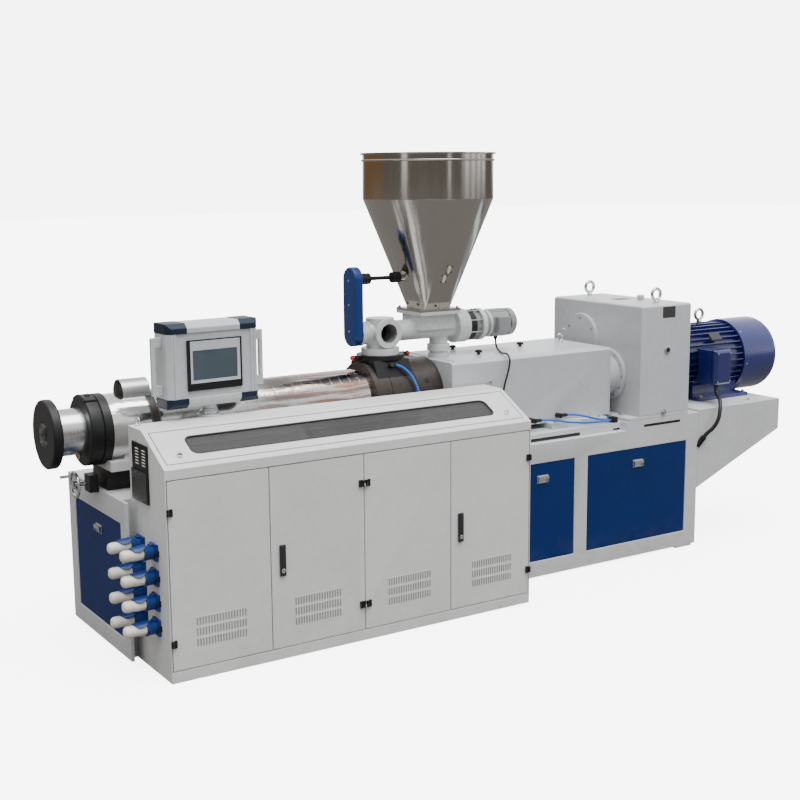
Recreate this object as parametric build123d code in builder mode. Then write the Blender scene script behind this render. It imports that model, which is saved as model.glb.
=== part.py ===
from build123d import *

import os
from math import atan2, cos, hypot, radians, sin, tan

# A conical twin-screw plastic extruder, in millimetres. The origin is on the floor under the
# middle of the base frame, below the barrel's axis. +X runs from the die end to the motor,
# -Y is the operator's side, where the control cabinet stands, and +Z is up.

# General clearances and cuts
panel_gap = 5.0
seat_gap = 0.3
shaft_gap = 0.05
cord_run_share = 0.45
overrun = 20.0

# Base frame, a welded box on sole plates
frame_length = 3410.0
frame_half_width = 394.0
sole_thickness = 10.0
sole_length = 120.0
sole_end_inset = 30.0
deck_height = 731.0
raised_deck_rise = 47.0
raised_deck_length = 550.0
end_wall = 16.0
end_wall_front_y = -354.0
recess_end_gap = 12.0

# Infill panels in the frame's sides
panel_bottom = 96.0
panel_top_drop = 105.0
panel_thickness = 10.0
panel_setback = 3.0
panel_clearance = 1.5
panel_front_small = (2062.0, 2498.0)
panel_front_large = (2588.0, 3318.0)
panel_rear_row = ((90.0, 838.0), (928.0, 1670.0), (1760.0, 2498.0), (2588.0, 3318.0))
panel_end_y = (-285.0, 304.0)
pull_length = 74.0
pull_height = 42.0
pull_depth = 14.0
pull_drop = 108.0

# Control cabinet, let into the front of the frame
cabinet_station = 57.0
cabinet_length = 1917.0
cabinet_front_y = -670.0
cabinet_back_y = -280.0
cabinet_top_height = 1057.0
cabinet_slope_drop = 130.0
cabinet_slope_top_y = -429.0
cabinet_sheet = 4.0
plinth_height = 50.0
door_lintel = 48.0
door_thickness = 18.0
stile_width = 60.0
rail_depth = 24.0
hinge_radius = 7.0
hinge_height = 28.0
hinge_leaf = 3.5
hinge_leaf_width = 16.0
hinge_tab = 2.0
hinge_pair_spacing = 18.0
hinge_low_height = 162.0
hinge_top_drop = 146.0
lock_width = 30.0
lock_height = 142.0
lock_depth = 10.0
lock_inset = 38.0
lock_bottom = 385.0

# Lid on the cabinet's sloping top
lid_side_margin = 27.0
lid_lower_margin = 36.0
lid_upper_margin = 26.0
lid_thickness = 16.0
window_side_margin = 134.0
window_lower_margin = 44.0
window_upper_margin = 46.0
window_thickness = 5.0
lid_seat_width = 14.0
console_depth = 60.0
console_thickness = 3.0
lid_lock_radius = 9.0
lid_lock_height = 8.0
lid_lock_inset = 72.0

# Instrument plate and plug sockets on the cabinet's die-end side
instrument_y = (-500.0, -332.0)
instrument_drop = 57.0
instrument_height = 255.0
instrument_depth = 8.0
socket_y = (-536.0, -389.0)
socket_drops = (193.0, 304.0, 414.0, 525.0)
socket_plate = 74.0
socket_plate_depth = 12.0
socket_radius = 33.0
socket_depth = 46.0
plug_radius = 27.0
plug_length = 98.0
plug_tip_radius = 20.0
flap_width = 58.0
flap_length = 62.0
flap_thickness = 8.0
flap_tilt = 24.0

# Operator screen on its swivel post
screen_station = 477.0
screen_post_station = 452.0
screen_axis_y = -262.0
screen_turn = 3.6
screen_rise = 242.0
screen_width = 455.0
screen_height = 375.0
screen_depth = 130.0
screen_bevel = 21.0
screen_plate_width = 369.0
screen_plate_height = 288.0
screen_plate_recess = 6.0
bezel_width = 272.0
bezel_height = 226.0
bezel_depth = 10.0
display_width = 222.0
display_height = 132.0
display_depth = 2.0
handle_reach = 52.0
handle_bar = 20.0
handle_length = 258.0
handle_arm = 46.0
post_radius = 36.0
post_height = 26.0
post_foot_radius = 52.0
post_foot_height = 8.0
swivel_radius = 30.0

# Barrel line, measured back from the die flange
axis_rise = 269.0
die_reach = 230.0
die_flange_length = 45.0
die_flange_radius = 155.0
die_flange_chamfer = 6.0
die_bore_radius = 58.0
neck_length = 123.0
neck_radius = 105.0
neck_bore_radius = 40.0
collar_length = 62.0
collar_radius = 160.0
collar_chamfer = 5.0
ring_length = 40.0
ring_radius = 162.0
shroud_radius = 155.0
shroud_sheet = 3.0
barrel_radius = 148.0
front_shroud_end = 225.0
gap_band_end = 262.0
rear_shroud_end = 1395.0
drum_end = 1793.0
drum_radius = 186.0
bridge_station = 123.0
bridge_length = 130.0
bridge_radius = 66.0
bridge_rise = 150.0

# Barrel carriage and its hand wheel at the die end of the frame
slide_station = 20.0
slide_length = 240.0
slide_half_width = 92.0
slide_rise = 95.0
saddle_length = 250.0
saddle_half_width = 150.0
saddle_thickness = 46.0
cradle_length = 60.0
cradle_half_width = 110.0
wheel_shaft_rise = 26.0
wheel_shaft_radius = 10.0
wheel_reach = 98.0
wheel_radius = 62.0
wheel_rim_radius = 7.0
wheel_hub_radius = 18.0
wheel_hub_length = 24.0
wheel_spoke_width = 11.0
wheel_spoke_thickness = 8.0
wheel_spokes = 3
crank_radius = 7.0
crank_length = 52.0
crank_angle = 145.0
bearing_block_depth = 42.0
bearing_block_half_width = 36.0
bearing_block_height = 80.0
bearing_block_drop = 18.0

# Feed throat saddle over the barrel's rear drum
throat_station = 1525.0
saddle_block_length = 208.0
saddle_block_rise = 200.0
saddle_block_half_width = 105.0
saddle_block_skirt_y = 150.0
saddle_block_skirt_rise = 106.0
clamp_plate_radius = 122.0
clamp_plate_thickness = 22.0
clamp_knob_radius = 14.0
clamp_knob_reach = 150.0
clamp_knob_stem = 7.0

# Metering feeder along the axis above the barrel
feeder_rise = 110.0
elbow_radius = 72.0
elbow_crown = 73.0
elbow_flange_radius = 98.0
elbow_flange_height = 32.0
port_radius = 48.0
port_flange_radius = 75.0
port_flange_thickness = 14.0
port_reach = 88.0
port_tube_radius = 62.0
port_depth = 110.0
tube_radius = 54.0
tube_end = 1990.0
bell_end = 2040.0
bell_radius = 88.0
neck_box_length = 214.0
neck_box_width = 172.0
feeder_flange_length = 246.0
feeder_flange_width = 234.0
feeder_neck_rise = 78.0
feeder_flange_thickness = 18.0
leg_station = 1885.0
leg_radius = 49.0
leg_collar_radius = 60.0
leg_collar_height = 34.0
leg_collar_rise = 31.0
leg_foot_radius = 56.0
leg_foot_height = 16.0
lantern_length = 45.0
lantern_radius = 78.0
reducer_length = 105.0
reducer_radius = 70.0
feed_motor_length = 118.0
feed_motor_radius = 74.0
feed_motor_cap_length = 45.0
feed_motor_seam = 6.0

# Chain guard and agitator drive
guard_station = 1345.0
guard_depth = 46.0
guard_radius = 62.0
guard_rise = 274.0
screw_hub_radius = 54.0
agitator_radius = 10.0
agitator_hub_radius = 28.0
agitator_hub_length = 70.0
agitator_boot_length = 46.0
agitator_boot_radius = 27.0
agitator_boss_radius = 24.0
agitator_reach = 90.0
paddle_span = 150.0
paddle_width = 24.0
paddle_thickness = 8.0

# Hopper
hopper_station = 1822.0
hopper_radius = 334.0
hopper_drum_height = 230.0
hopper_cone_height = 558.0
hopper_sheet = 3.0
hopper_outlet = 164.0
hopper_corner_radius = 8.0
hopper_flat_share = 0.004
hopper_rim_width = 12.0
hopper_rim_height = 8.0
hopper_flange_thickness = 12.0

# Thrust housing, in front of the gearbox
plinth_station = 1800.0
plinth_half_width = 350.0
plinth_rise = 44.0
housing_end = 2858.0
housing_half_width = 258.0
housing_foot_height = 30.0
housing_height = 372.0
housing_edge = 10.0
housing_foot_half_width = 300.0
housing_foot_front = (2010.0, 2200.0)
housing_foot_rear = (2413.0, 2800.0)
cover_margin = 40.0
cover_thickness = 4.0
knob_radius = 20.0
knob_height = 14.0
knob_stem_radius = 8.0
knob_stem_height = 10.0
knob_places = ((2088.0, -80.0), (2088.0, 158.0), (2461.0, 43.0))

# Gearbox and its coupling
gearbox_station = 2952.0
gearbox_length = 372.0
gearbox_front_y = -394.0
gearbox_back_y = 346.0
gearbox_foot_thickness = 20.0
gearbox_foot_station = 2874.0
gearbox_height = 609.0
gearbox_edge = 8.0
coupling_y = -147.0
coupling_rise = 10.0
coupling_radius = 112.0
coupling_flange_radius = 142.0
coupling_flange_thickness = 26.0
bearing_cover_y = 90.0
bearing_cover_rise = 195.0
bearing_cover_radius = 135.0
bearing_cover_thickness = 20.0
breather_places = (3208.0, -110.0)
breather_radius = 22.0
breather_height = 30.0
eye_outer_radius = 40.0
eye_wire_radius = 9.0
eye_stem_radius = 14.0
eye_stem_height = 18.0
small_eye_share = 0.6
housing_eye_place = (2749.0, 46.0)
gearbox_eye_rear_place = (3170.0, 285.0)
gearbox_eye_front_place = (3146.0, -299.0)
motor_eye_station = 3790.0

# Motor bracket beyond the frame
bracket_length = 669.0
bracket_rise = 61.0
bracket_tip_depth = 182.0
bracket_root_depth = 458.0

# Main motor
motor_height = 225.0
motor_station = 3440.0
motor_cowl_station = 3962.0
motor_end = 4268.0
motor_core_radius = 188.0
motor_fin_radius = 212.0
motor_fin_width = 5.0
motor_fin_length = 28.0
motor_fins = 36
motor_shield_length = 60.0
motor_cowl_radius = 220.0
motor_cowl_edge = 60.0
motor_cowl_sheet = 3.0
motor_foot_start = 3600.0
motor_foot_end = 4002.0
motor_foot_half_width = 213.0
motor_foot_height = 22.0
motor_foot_web = 60.0
motor_shaft_radius = 110.0
terminal_start = 3581.0
terminal_end = 3713.0
terminal_depth = 352.0
terminal_drop = 110.0
terminal_rise = 91.0
terminal_edge = 14.0

# Fittings of the hoses and cables
fitting_radius = 10.0
fitting_boss_radius = 13.0
fitting_length = 46.0
ferrule_length = 12.0
ferrule_inset = 6.0
slim_ferrule_radius = 9.0
throat_ferrule_radius = 11.0
motor_ferrule_radius = 13.5
fitting_front = (2480.0, -285.0, 35.0)
fitting_rear = (2292.0, -300.0, 28.0)
manifold_station = 2806.0
manifold_length = 30.0
manifold_y = (-350.0, -308.0)
manifold_height = 28.0
manifold_port_y = (-322.0, -340.0)
manifold_port_rise = 15.0
manifold_port_length = 16.0
manifold_port_radius = 8.0
motor_gland_place = (3616.0, -322.0)
motor_gland_length = 15.0
motor_gland_radius = 16.0
motor_cable_end = (3438.0, -20.0, -157.0)
feeder_gland_station = 2259.0
feeder_gland_length = 16.0
feeder_gland_radius = 11.0
feeder_cable_end = (2092.0, -322.0)
feeder_post_height = 23.0
throat_fitting_offset = -14.0
throat_fitting_drop = 28.0
throat_boss_reach = 14.0
throat_nipple_length = 21.0
throat_nipple_radius = 9.0
throat_boss_radius = 13.0
throat_hose_end = (1620.0, -245.0)
throat_post_height = 29.0
throat_post_radius = 12.0

# Hoses and cables: diameters, and how each route bends away from the straight line between
# its ends, at shares of that line
hose_diameter = 12.0
hose_front_shares = (0.166, 0.423, 0.661, 0.859)
hose_front_bends = ((1.8, 5.1, 6.3), (0.0, -7.3, 5.1), (-1.9, -12.5, -1.0), (-1.3, -5.2, -3.0))
hose_rear_shares = (0.132, 0.359, 0.628, 0.847)
hose_rear_bends = ((0.6, 3.3, 2.7), (-1.6, -7.6, -9.6), (-2.6, -14.9, -12.0), (-1.2, -6.1, -7.6))
motor_cable_diameter = 22.0
motor_cable_shares = (0.058, 0.134, 0.231, 0.352, 0.531, 0.717, 0.862, 0.938)
motor_cable_bends = (
    (9.3, 2.3, -7.1),
    (11.9, -7.7, -5.6),
    (-0.9, -40.7, 15.4),
    (-13.3, -75.6, 36.5),
    (-11.5, -91.1, 40.5),
    (3.6, -80.0, 26.3),
    (5.4, -48.7, 13.5),
    (-1.0, -17.7, 7.1),
)
feeder_cable_diameter = 10.0
feeder_cable_shares = (
    0.033,
    0.078,
    0.134,
    0.209,
    0.278,
    0.327,
    0.376,
    0.439,
    0.493,
    0.551,
    0.618,
    0.703,
    0.792,
    0.876,
    0.944,
)
feeder_cable_bends = (
    (4.5, 7.6, -7.3),
    (6.0, 5.1, -6.2),
    (-0.6, -10.9, 7.8),
    (-16.1, -44.7, 38.2),
    (-32.6, -80.5, 70.0),
    (-46.4, -112.7, 98.8),
    (-53.2, -140.9, 121.7),
    (-49.7, -148.6, 125.8),
    (-45.7, -131.3, 111.9),
    (-43.0, -104.6, 91.7),
    (-43.8, -76.0, 71.6),
    (-39.6, -47.6, 49.5),
    (-30.7, -25.0, 29.2),
    (-19.7, -9.9, 14.7),
    (-9.4, -8.0, 9.0),
)
throat_hose_diameter = 14.0
throat_hose_shares = (0.027, 0.107, 0.215, 0.328, 0.445, 0.566, 0.689, 0.808, 0.91)
throat_hose_bends = (
    (21.6, -1.9, 5.3),
    (48.6, -8.8, 12.7),
    (61.1, -18.5, 17.9),
    (61.1, -29.6, 21.1),
    (54.8, -30.3, 20.0),
    (42.2, -20.5, 14.6),
    (27.4, -22.5, 12.0),
    (16.9, -22.9, 9.7),
    (7.9, -10.3, 4.4),
)

# Derived places
frame_left = -frame_length / 2
frame_right = frame_length / 2
raised_deck_height = deck_height + raised_deck_rise
panel_top = deck_height - panel_top_drop
axis_height = deck_height + axis_rise
slide_top = deck_height + slide_rise
wheel_shaft_height = deck_height + wheel_shaft_rise
plinth_top = deck_height + plinth_rise
housing_bottom = plinth_top + housing_foot_height
housing_top = housing_bottom + housing_height
coupling_height = axis_height + coupling_rise
bearing_cover_height = axis_height + bearing_cover_rise
bracket_top = deck_height + bracket_rise
bracket_tip_bottom = bracket_top - bracket_tip_depth
bracket_root_bottom = bracket_top - bracket_root_depth
cabinet_lip_height = cabinet_top_height - cabinet_slope_drop
door_top = cabinet_lip_height - door_lintel
hinge_z = (hinge_low_height, door_top - hinge_top_drop)
cabinet_left = frame_left + cabinet_station
cabinet_right = cabinet_left + cabinet_length
cabinet_middle = (cabinet_left + cabinet_right) / 2
recess_y = cabinet_back_y
slope_angle = atan2(
    cabinet_top_height - cabinet_lip_height, cabinet_slope_top_y - cabinet_front_y
)
slope_length = hypot(
    cabinet_top_height - cabinet_lip_height, cabinet_slope_top_y - cabinet_front_y
)
screen_x = frame_left + screen_post_station
throat_x = frame_left + throat_station
hopper_x = frame_left + hopper_station
gearbox_x = frame_left + gearbox_station
gearbox_right = gearbox_x + gearbox_length
gearbox_bottom = raised_deck_height + gearbox_foot_thickness
gearbox_top = gearbox_bottom + gearbox_height
motor_axis_height = bracket_top + motor_height
terminal_bottom = motor_axis_height - terminal_drop
terminal_top = motor_axis_height + terminal_rise
instrument_top = cabinet_top_height - instrument_drop
instrument_bottom = instrument_top - instrument_height
screen_center_height = cabinet_top_height + screen_rise
bridge_center_height = axis_height + bridge_rise
saddle_block_top = axis_height + saddle_block_rise
saddle_block_skirt_z = axis_height + saddle_block_skirt_rise
feeder_height = saddle_block_top + clamp_plate_thickness + feeder_rise
elbow_top = feeder_height + elbow_crown
feeder_flange_bottom = feeder_height + feeder_neck_rise
guard_upper_height = feeder_height + guard_rise
hopper_bottom = feeder_flange_bottom + feeder_flange_thickness + hopper_flange_thickness
hopper_drum_bottom = hopper_bottom + hopper_cone_height
hopper_top = hopper_drum_bottom + hopper_drum_height

os.makedirs("parts", exist_ok=True)


def write_part(builder, node):
    """Label a finished piece and write its STEP file."""
    builder.part.label = node
    export_step(builder.part, f"parts/{node}.step")


def block(x, y, z, mode=Mode.ADD):
    """A rectangular block between pairs of limits along each axis."""
    with Locations((min(x), min(y), min(z))):
        Box(
            abs(x[1] - x[0]),
            abs(y[1] - y[0]),
            abs(z[1] - z[0]),
            align=(Align.MIN, Align.MIN, Align.MIN),
            mode=mode,
        )


def round_x(x0, length, y, z, radius, mode=Mode.ADD):
    """A round bar along X that starts at x0."""
    with Locations(Location((x0 + length / 2, y, z), (0, 90, 0))):
        Cylinder(radius, abs(length), mode=mode)


def round_z(x, y, z0, height, radius, mode=Mode.ADD):
    """A round post that stands on z0."""
    with Locations((x, y, z0 + height / 2)):
        Cylinder(radius, abs(height), mode=mode)


def round_y(x, y0, length, z, radius):
    """A round bar along Y that starts at y0 and runs to -Y."""
    with Locations(Location((x, y0 - length / 2, z), (90, 0, 0))):
        Cylinder(radius, length)


def peg(origin, direction, length, radius):
    """A round bar that stands on a point and runs in any direction."""
    with BuildSketch(Plane(origin=origin, z_dir=direction)) as peg_end:
        Circle(radius)
    extrude(peg_end.sketch, amount=length)


def ring_x(x0, length, y, z, outer, inner):
    """A round ring about an axis along X."""
    round_x(x0, length, y, z, outer)
    round_x(x0 - overrun, length + 2 * overrun, y, z, inner, mode=Mode.SUBTRACT)


# Sole plates carry the frame; the middle one lies under the origin
sole_stations = (
    frame_left + sole_end_inset,
    -sole_length / 2,
    cabinet_right + recess_end_gap + sole_end_inset,
    frame_right - sole_end_inset - sole_length,
)
with BuildPart() as sole_plates:
    for start in sole_stations:
        front = recess_y if start < cabinet_right else -frame_half_width
        block((start, start + sole_length), (front, frame_half_width), (0, sole_thickness))
write_part(sole_plates, "sole_plates")

# Welded base frame, with the raised deck under the gearbox, the recess for the cabinet and
# shallow pockets for the infill panels
pocket = panel_thickness + panel_setback
recess_right = cabinet_right + recess_end_gap
with BuildPart() as base_frame:
    with BuildSketch(Plane.XZ.offset(-frame_half_width)):
        with BuildLine():
            Polyline(
                (frame_left, sole_thickness),
                (frame_left, deck_height),
                (frame_right - raised_deck_length, deck_height),
                (frame_right - raised_deck_length, raised_deck_height),
                (frame_right, raised_deck_height),
                (frame_right, sole_thickness),
                close=True,
            )
        make_face()
    extrude(amount=2 * frame_half_width)
    block(
        (frame_left + end_wall, recess_right),
        (-frame_half_width - overrun, recess_y),
        (0, deck_height + overrun),
        mode=Mode.SUBTRACT,
    )
    block(
        (frame_left - overrun, frame_left + end_wall),
        (-frame_half_width - overrun, end_wall_front_y),
        (0, deck_height + overrun),
        mode=Mode.SUBTRACT,
    )
    for start, stop in (panel_front_small, panel_front_large):
        block(
            (frame_left + start, frame_left + stop),
            (-frame_half_width - overrun, -frame_half_width + pocket),
            (panel_bottom, panel_top),
            mode=Mode.SUBTRACT,
        )
    for start, stop in panel_rear_row:
        block(
            (frame_left + start, frame_left + stop),
            (frame_half_width - pocket, frame_half_width + overrun),
            (panel_bottom, panel_top),
            mode=Mode.SUBTRACT,
        )
    block(
        (frame_left - overrun, frame_left + pocket),
        panel_end_y,
        (panel_bottom, panel_top),
        mode=Mode.SUBTRACT,
    )
write_part(base_frame, "base_frame")

# Infill panels, each seated on the floor of its pocket
low = panel_bottom + panel_clearance
high = panel_top - panel_clearance
front_face = -frame_half_width + panel_setback
rear_face = frame_half_width - panel_setback
side_panels = [(limits, front_face) for limits in (panel_front_small, panel_front_large)]
side_panels += [(limits, rear_face) for limits in panel_rear_row]
pull_centers = []
with BuildPart() as infill_panels:
    for limits, face in side_panels:
        side = 1 if face > 0 else -1
        start = frame_left + limits[0] + panel_clearance
        stop = frame_left + limits[1] - panel_clearance
        block((start, stop), (face, face - side * panel_thickness), (low, high))
        pull_centers.append(((start + stop) / 2, face, side))
    block(
        (frame_left + panel_setback, frame_left + pocket),
        (panel_end_y[0] + panel_clearance, panel_end_y[1] - panel_clearance),
        (low, high),
    )
write_part(infill_panels, "infill_panels")

# Bent pulls, one on each panel
with BuildPart() as panel_pulls:
    pull_top = panel_top - pull_drop + pull_height
    for x, face, side in pull_centers:
        block(
            (x - pull_length / 2, x + pull_length / 2),
            (face, face + side * pull_depth),
            (pull_top - pull_height, pull_top),
        )
    block(
        (frame_left + panel_setback - pull_depth, frame_left + panel_setback),
        (-pull_length / 2, pull_length / 2),
        (pull_top - pull_height, pull_top),
    )
write_part(panel_pulls, "panel_pulls")

# Cabinet body of folded sheet: two sloped side plates, back, base, rail, stile and top
hinge_y = cabinet_front_y - hinge_radius
hinge_inset = cabinet_sheet + panel_gap / 2
hinge_low = hinge_height / 2 - seat_gap / 2
hinge_rise = hinge_height / 2 + seat_gap / 2
side_outline = [
    (cabinet_front_y, 0),
    (cabinet_front_y, cabinet_lip_height),
    (cabinet_slope_top_y, cabinet_top_height),
    (cabinet_back_y, cabinet_top_height),
    (cabinet_back_y, 0),
]
with BuildPart() as cabinet_sides:
    for x in (cabinet_left, cabinet_right - cabinet_sheet):
        with BuildSketch(Plane.YZ.offset(x)) as side_face:
            with BuildLine():
                Polyline(*side_outline, close=True)
            make_face()
        extrude(side_face.sketch, amount=cabinet_sheet)
    for edge, side in ((cabinet_left, 1), (cabinet_right, -1)):
        hinge_x = edge + side * hinge_inset
        for z in hinge_z:
            round_z(hinge_x, hinge_y, z, hinge_low, hinge_radius)
            block(
                (edge, hinge_x),
                (cabinet_front_y - hinge_leaf, cabinet_front_y),
                (z, z + hinge_low),
            )
write_part(cabinet_sides, "cabinet_sides")

inner_left = cabinet_left + cabinet_sheet
inner_right = cabinet_right - cabinet_sheet
with BuildPart() as cabinet_base:
    block((inner_left, inner_right), (cabinet_front_y, cabinet_back_y), (0, plinth_height))
write_part(cabinet_base, "cabinet_base")

with BuildPart() as cabinet_back:
    block(
        (inner_left, inner_right),
        (cabinet_back_y - cabinet_sheet, cabinet_back_y),
        (plinth_height, cabinet_top_height - cabinet_sheet),
    )
write_part(cabinet_back, "cabinet_back")

door_back_y = cabinet_front_y + door_thickness
rail_y = door_back_y + panel_gap

# Points on the sloping top are given by the distance up the slope and the depth under it
slope_plane = Plane(
    origin=(0, cabinet_front_y, cabinet_lip_height),
    x_dir=(1, 0, 0),
    z_dir=(0, -sin(slope_angle), cos(slope_angle)),
)


def slope_block(x, s, depth, mode=Mode.ADD):
    """A block whose faces follow the cabinet's sloping top."""
    with BuildSketch(slope_plane.offset(-depth[0])) as patch:
        with Locations(((x[0] + x[1]) / 2, (s[0] + s[1]) / 2)):
            Rectangle(x[1] - x[0], s[1] - s[0])
    extrude(patch.sketch, amount=depth[0] - depth[1], mode=mode)


lid_left = cabinet_left + lid_side_margin
lid_right = cabinet_right - lid_side_margin
lid_low = lid_lower_margin
lid_high = slope_length - lid_upper_margin
rail_bend_y = cabinet_front_y + (lid_low - panel_gap) * cos(slope_angle)
rail_bend_z = cabinet_lip_height + (lid_low - panel_gap) * sin(slope_angle)
top_bend_y = cabinet_slope_top_y - (lid_upper_margin - panel_gap) * cos(slope_angle)
top_bend_z = cabinet_top_height - (lid_upper_margin - panel_gap) * sin(slope_angle)
with BuildPart() as cabinet_frame:
    block(
        (cabinet_middle - stile_width / 2, cabinet_middle + stile_width / 2),
        (rail_y, rail_y + rail_depth),
        (plinth_height, door_top + panel_gap),
    )
    with BuildSketch(Plane.YZ.offset(inner_left)) as rail_section:
        with BuildLine():
            Polyline(
                (cabinet_front_y, door_top + panel_gap),
                (cabinet_front_y, cabinet_lip_height),
                (rail_bend_y, rail_bend_z),
                (rail_y + rail_depth, door_top + panel_gap),
                close=True,
            )
        make_face()
    extrude(rail_section.sketch, amount=inner_right - inner_left)
    with BuildSketch(Plane.YZ.offset(inner_left)) as top_section:
        with BuildLine():
            Polyline(
                (top_bend_y, top_bend_z),
                (cabinet_slope_top_y, cabinet_top_height),
                (cabinet_back_y, cabinet_top_height),
                (cabinet_back_y, cabinet_top_height - cabinet_sheet),
                (
                    cabinet_slope_top_y + cabinet_sheet * tan(slope_angle / 2),
                    cabinet_top_height - cabinet_sheet,
                ),
                (
                    top_bend_y + cabinet_sheet * sin(slope_angle),
                    top_bend_z - cabinet_sheet * cos(slope_angle),
                ),
                close=True,
            )
        make_face()
    extrude(top_section.sketch, amount=inner_right - inner_left)
    ledge_s = (lid_low - panel_gap - rail_depth / 2, lid_high + panel_gap + cabinet_sheet)
    lid_seat = lid_thickness + seat_gap
    for wall, edge, side in ((inner_left, lid_left, 1), (inner_right, lid_right, -1)):
        outer = sorted((wall, edge - side * panel_gap))
        slope_block(outer, ledge_s, (0, lid_seat + cabinet_sheet))
        seat = sorted((wall, edge + side * lid_seat_width))
        slope_block(seat, ledge_s, (lid_seat, lid_seat + cabinet_sheet))
    for z in hinge_z:
        for side in (-1, 1):
            hinge_x = cabinet_middle + side * hinge_pair_spacing / 2
            round_z(hinge_x, hinge_y, z, hinge_low, hinge_radius)
        block(
            (cabinet_middle - hinge_pair_spacing / 2, cabinet_middle + hinge_pair_spacing / 2),
            (hinge_y - hinge_leaf / 2, hinge_y + hinge_leaf / 2),
            (z, z + hinge_low),
        )
        block(
            (cabinet_middle - hinge_tab / 2, cabinet_middle + hinge_tab / 2),
            (hinge_y, rail_y),
            (z, z + hinge_low),
        )
write_part(cabinet_frame, "cabinet_frame")

# Console plate under the lid, seen through its window
with BuildPart() as console_plate:
    slope_block(
        (inner_left, inner_right),
        (lid_low, lid_high - console_depth),
        (console_depth, console_depth + console_thickness),
    )
write_part(console_plate, "console_plate")

# Doors on lift-off hinges, with their locks; the two leaves of each bay meet without a post
bay_half = cabinet_length / 4
stile_left = cabinet_middle - hinge_pair_spacing / 2
stile_right = cabinet_middle + hinge_pair_spacing / 2
door_plans = (
    ("door_1", inner_left + panel_gap / 2, cabinet_left + bay_half, cabinet_left + hinge_inset),
    ("door_2", cabinet_left + bay_half, cabinet_middle, stile_left),
    ("door_3", cabinet_middle, cabinet_middle + bay_half, stile_right),
    ("door_4", cabinet_middle + bay_half, inner_right - panel_gap / 2, cabinet_right - hinge_inset),
)
locked_doors = ("door_2", "door_4")
door_bottom = plinth_height + panel_gap
for node, start, stop, hinge_x in door_plans:
    left = start + panel_gap / 2
    right = stop - panel_gap / 2
    inward = hinge_leaf_width if hinge_x < (left + right) / 2 else -hinge_leaf_width
    with BuildPart() as door:
        block((left, right), (cabinet_front_y, door_back_y), (door_bottom, door_top))
        for z in hinge_z:
            round_z(hinge_x, hinge_y, z + hinge_rise, hinge_low, hinge_radius)
            block(
                (hinge_x, hinge_x + inward),
                (cabinet_front_y - hinge_leaf, cabinet_front_y),
                (z + hinge_rise, z + hinge_height),
            )
    write_part(door, node)
    if node in locked_doors:
        lock_left = left + lock_inset
        with BuildPart() as door_lock:
            block(
                (lock_left, lock_left + lock_width),
                (cabinet_front_y - lock_depth, cabinet_front_y),
                (lock_bottom, lock_bottom + lock_height),
            )
        write_part(door_lock, f"{node}_lock")

# Sloping lid with its window opening and two quarter-turn locks, and its glass
window_x = (lid_left + window_side_margin, lid_right - window_side_margin)
window_s = (lid_low + window_lower_margin, lid_high - window_upper_margin)
with BuildPart() as lid_frame:
    slope_block((lid_left, lid_right), (lid_low, lid_high), (0, lid_thickness))
    slope_block(window_x, window_s, (-overrun, lid_thickness + overrun), mode=Mode.SUBTRACT)
    with BuildSketch(slope_plane) as lock_spots:
        with Locations(
            (lid_left + lid_lock_inset, window_s[0]),
            (lid_right - lid_lock_inset, window_s[0]),
        ):
            Circle(lid_lock_radius)
    extrude(lock_spots.sketch, amount=lid_lock_height)
write_part(lid_frame, "lid_frame")

with BuildPart() as lid_window:
    slope_block(window_x, window_s, (window_thickness, 2 * window_thickness))
write_part(lid_window, "lid_window")

# Instrument plate on the cabinet's side
with BuildPart() as instrument_plate:
    block(
        (cabinet_left - instrument_depth, cabinet_left),
        instrument_y,
        (instrument_bottom, instrument_top),
    )
write_part(instrument_plate, "instrument_plate")

# Wall sockets with their raised flaps, two columns of four, and their plugs
socket_spots = [(y, instrument_bottom - drop) for y in socket_y for drop in socket_drops]
plug_x = cabinet_left - socket_plate_depth - socket_depth
flap_sin = sin(radians(flap_tilt))
flap_cos = cos(radians(flap_tilt))
with BuildPart() as sockets:
    for y, z in socket_spots:
        block(
            (cabinet_left - socket_plate_depth, cabinet_left),
            (y - socket_plate / 2, y + socket_plate / 2),
            (z - socket_plate / 2, z + socket_plate / 2),
        )
        round_x(plug_x, socket_depth, y, z, socket_radius)
        flap_plane = Plane(
            origin=(plug_x + flap_thickness, y, z + socket_radius - flap_thickness / 2),
            x_dir=(-flap_cos, 0, flap_sin),
            z_dir=(flap_sin, 0, flap_cos),
        )
        with BuildSketch(flap_plane) as flap_face:
            with Locations((flap_length / 2, 0)):
                RectangleRounded(flap_length, flap_width, flap_width / 4)
        extrude(flap_face.sketch, amount=flap_thickness)
write_part(sockets, "sockets")

with BuildPart() as plugs:
    for y, z in socket_spots:
        with BuildSketch(Plane.XZ.offset(-y)) as plug_half:
            with BuildLine():
                Polyline(
                    (plug_x, z),
                    (plug_x, z + plug_radius),
                    (plug_x - plug_length + plug_tip_radius, z + plug_radius),
                )
                Line(
                    (plug_x - plug_length + plug_tip_radius, z + plug_radius),
                    (plug_x - plug_length, z + plug_radius - plug_tip_radius),
                )
                Polyline(
                    (plug_x - plug_length, z + plug_radius - plug_tip_radius),
                    (plug_x - plug_length, z),
                    (plug_x, z),
                )
            make_face()
        revolve(plug_half.sketch, axis=Axis((0, y, z), (1, 0, 0)))
write_part(plugs, "plugs")

# Swivel post of the operator screen
post_top = cabinet_top_height + post_foot_height + post_height
with BuildPart() as screen_post:
    round_z(screen_x, screen_axis_y, cabinet_top_height, post_foot_height, post_foot_radius)
    round_z(
        screen_x,
        screen_axis_y,
        cabinet_top_height + post_foot_height,
        post_height,
        post_radius,
    )
write_part(screen_post, "screen_post")

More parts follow.
